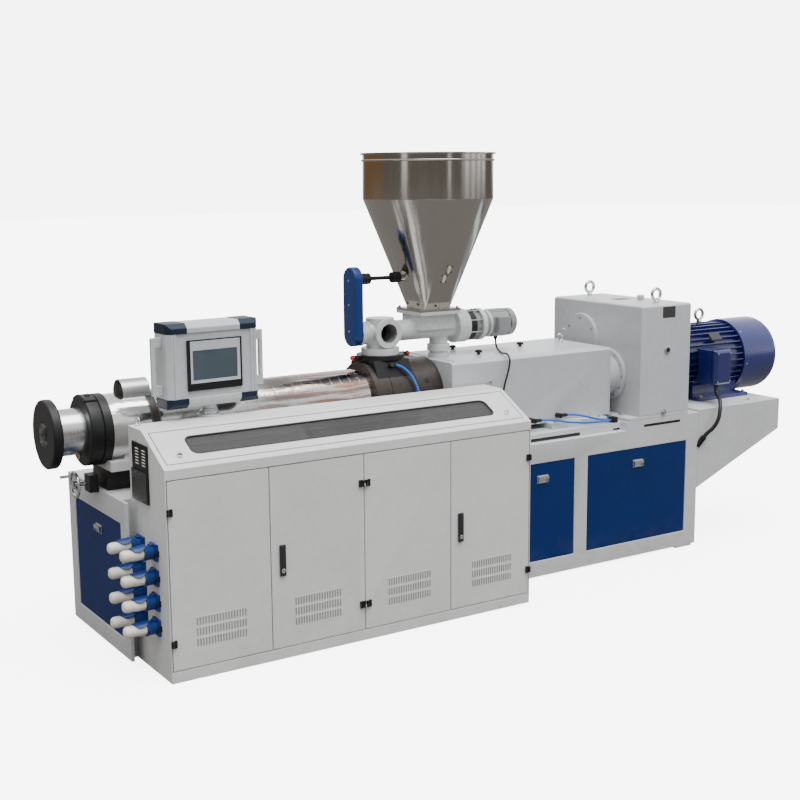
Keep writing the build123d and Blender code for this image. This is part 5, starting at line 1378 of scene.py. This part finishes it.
pieceFrom("motor_cowl_skin", cowlForm(), "motorBlue", nodes=["motor_cowl"], smooth=30.0)
grille = Form()
for radius in cowl["hoops"]:
    grille.ring(onCowl(3.2), xWay, radius, 2.2, 72, 8)
for angle in cowl["spokes"]:
    grille.lathe([(14, 0), (14, 2.4), (157, 2.4), (157, 0)], onCowl(5), onRound(0, angle, 0)[1], 8)
grille.lathe(cowl["hub"], onCowl(7), xWay, 32)
pieceFrom("cowl_grille", grille, "motorBlue")
motorScrews = [(*onRound(3984, angle, 219.6, cowl["z"]), 6, 2.2) for angle in cowl["screws"]]
motorScrews += [(at(x, -352, z), -yWay, 5, 2.5) for x in (3598, 3696) for z in (926, 1089)]
screws("motor_screws", "zincSteel", motorScrews)
motorPlate = Form()
out, lift = Vector((0, -0.74, 0.67)), Vector((0, 0.67, 0.74))
foot = [(xWay * a + lift * b + out) * mm for a, b in ((-42, -24), (42, -24), (42, 24), (-42, 24))]
motorPlate.prism([at(3765, -159, 1159) + reach for reach in foot], out * 4)
pieceFrom("motor_plate", motorPlate, "barePlate")
seamBox = [((3579.5, -318, 905.5), (3714.5, -315, 1109.5))]
plates("terminal_seam", "screenBlack", seamBox, 0, slot="black_plastic")
print("motor dressed")

# Floor and soft studio light
stage = {
    "floorSeen": (0.90, 0.90, 0.90),
    "floorLift": 5.3,
    "floorBounce": (0.13, 0.125, 0.115),
    "sky": (1.20, 1.23, 1.27),
    "wall": (0.16, 0.145, 0.125),
    "brownWall": (0.24, 0.135, 0.065),
    "pane": (1.7, 1.7, 1.75),
    "seenSky": (6.5, 6.5, 6.5),
    "sun": 4.2,
    "sunTurn": (-0.04, 0.25, -0.96),
    "sunWidth": 50,
}


def makeFloor():
    form = Form()
    form.box((-60, -60, -0.02), (60, 60, -0.0004))
    floor = placed("floor", form.mesh())
    matt = {"Roughness": 0.75, "Specular_IOR_Level": 0.1, "Emission_Color": (1, 1, 1, 1)}
    s, body = startMaterial("studioFloor", **matt)
    seen = s.seen()
    tone = s.ramp(s.noise(s.place(), 1.4), 0.3, 0.7, 0.985, 1.0)
    base = s.blend(seen, (*stage["floorBounce"], 1), (*stage["floorSeen"], 1))
    s.feed(body, Base_Color=s.scaled(base, tone), Emission_Strength=s.times(seen, stage["floorLift"]))
    floor.data.materials.append(looks["studioFloor"])


def makeSky():
    world = bpy.data.worlds.new("studio")
    world.use_nodes = True
    s = Shader(world.node_tree)
    facing = s.parts(s.add("ShaderNodeTexCoord").outputs["Generated"])
    turn = s.calc("ARCTAN2", facing["Y"], facing["X"])

    def between(first, last, soft=0.03):
        return s.times(s.ramp(turn, first, first + soft), s.ramp(turn, last - soft, last, 1.0, 0.0))

    stripes = s.ramp(s.calc("SINE", s.times(turn, 26.0)), -0.7, -0.2, 0.25, 1.0)
    panes = s.times(between(-1.10, -0.05), stripes)
    for pane in ((-1.56, -1.45), (-2.98, -2.78), (0.45, 1.45, 0.1)):
        panes = s.calc("MAXIMUM", panes, between(*pane))
    plain = s.blend(between(1.5, 2.75, 0.2), (*stage["wall"], 1), (*stage["brownWall"], 1))
    low = s.ramp(facing["Z"], -0.02, 0.02)
    wall = s.blend(s.times(panes, low), plain, (*stage["pane"], 1))
    room = s.blend(s.ramp(facing["Z"], 0.12, 0.5), wall, (*stage["sky"], 1))
    light = s.blend(s.seen(), room, (*stage["seenSky"], 1))
    s.feed(s.tree.nodes["Background"], Color=light)
    bpy.context.scene.world = world


def makeSun():
    data = bpy.data.lights.new("softSun", "SUN")
    data.energy = stage["sun"]
    data.angle = radians(stage["sunWidth"])
    lamp = placed("softSun", data)
    lamp.rotation_mode = "QUATERNION"
    lamp.rotation_quaternion = Vector(stage["sunTurn"]).to_track_quat("-Z", "Y")


makeFloor()
makeSky()
makeSun()
print("stage lit")
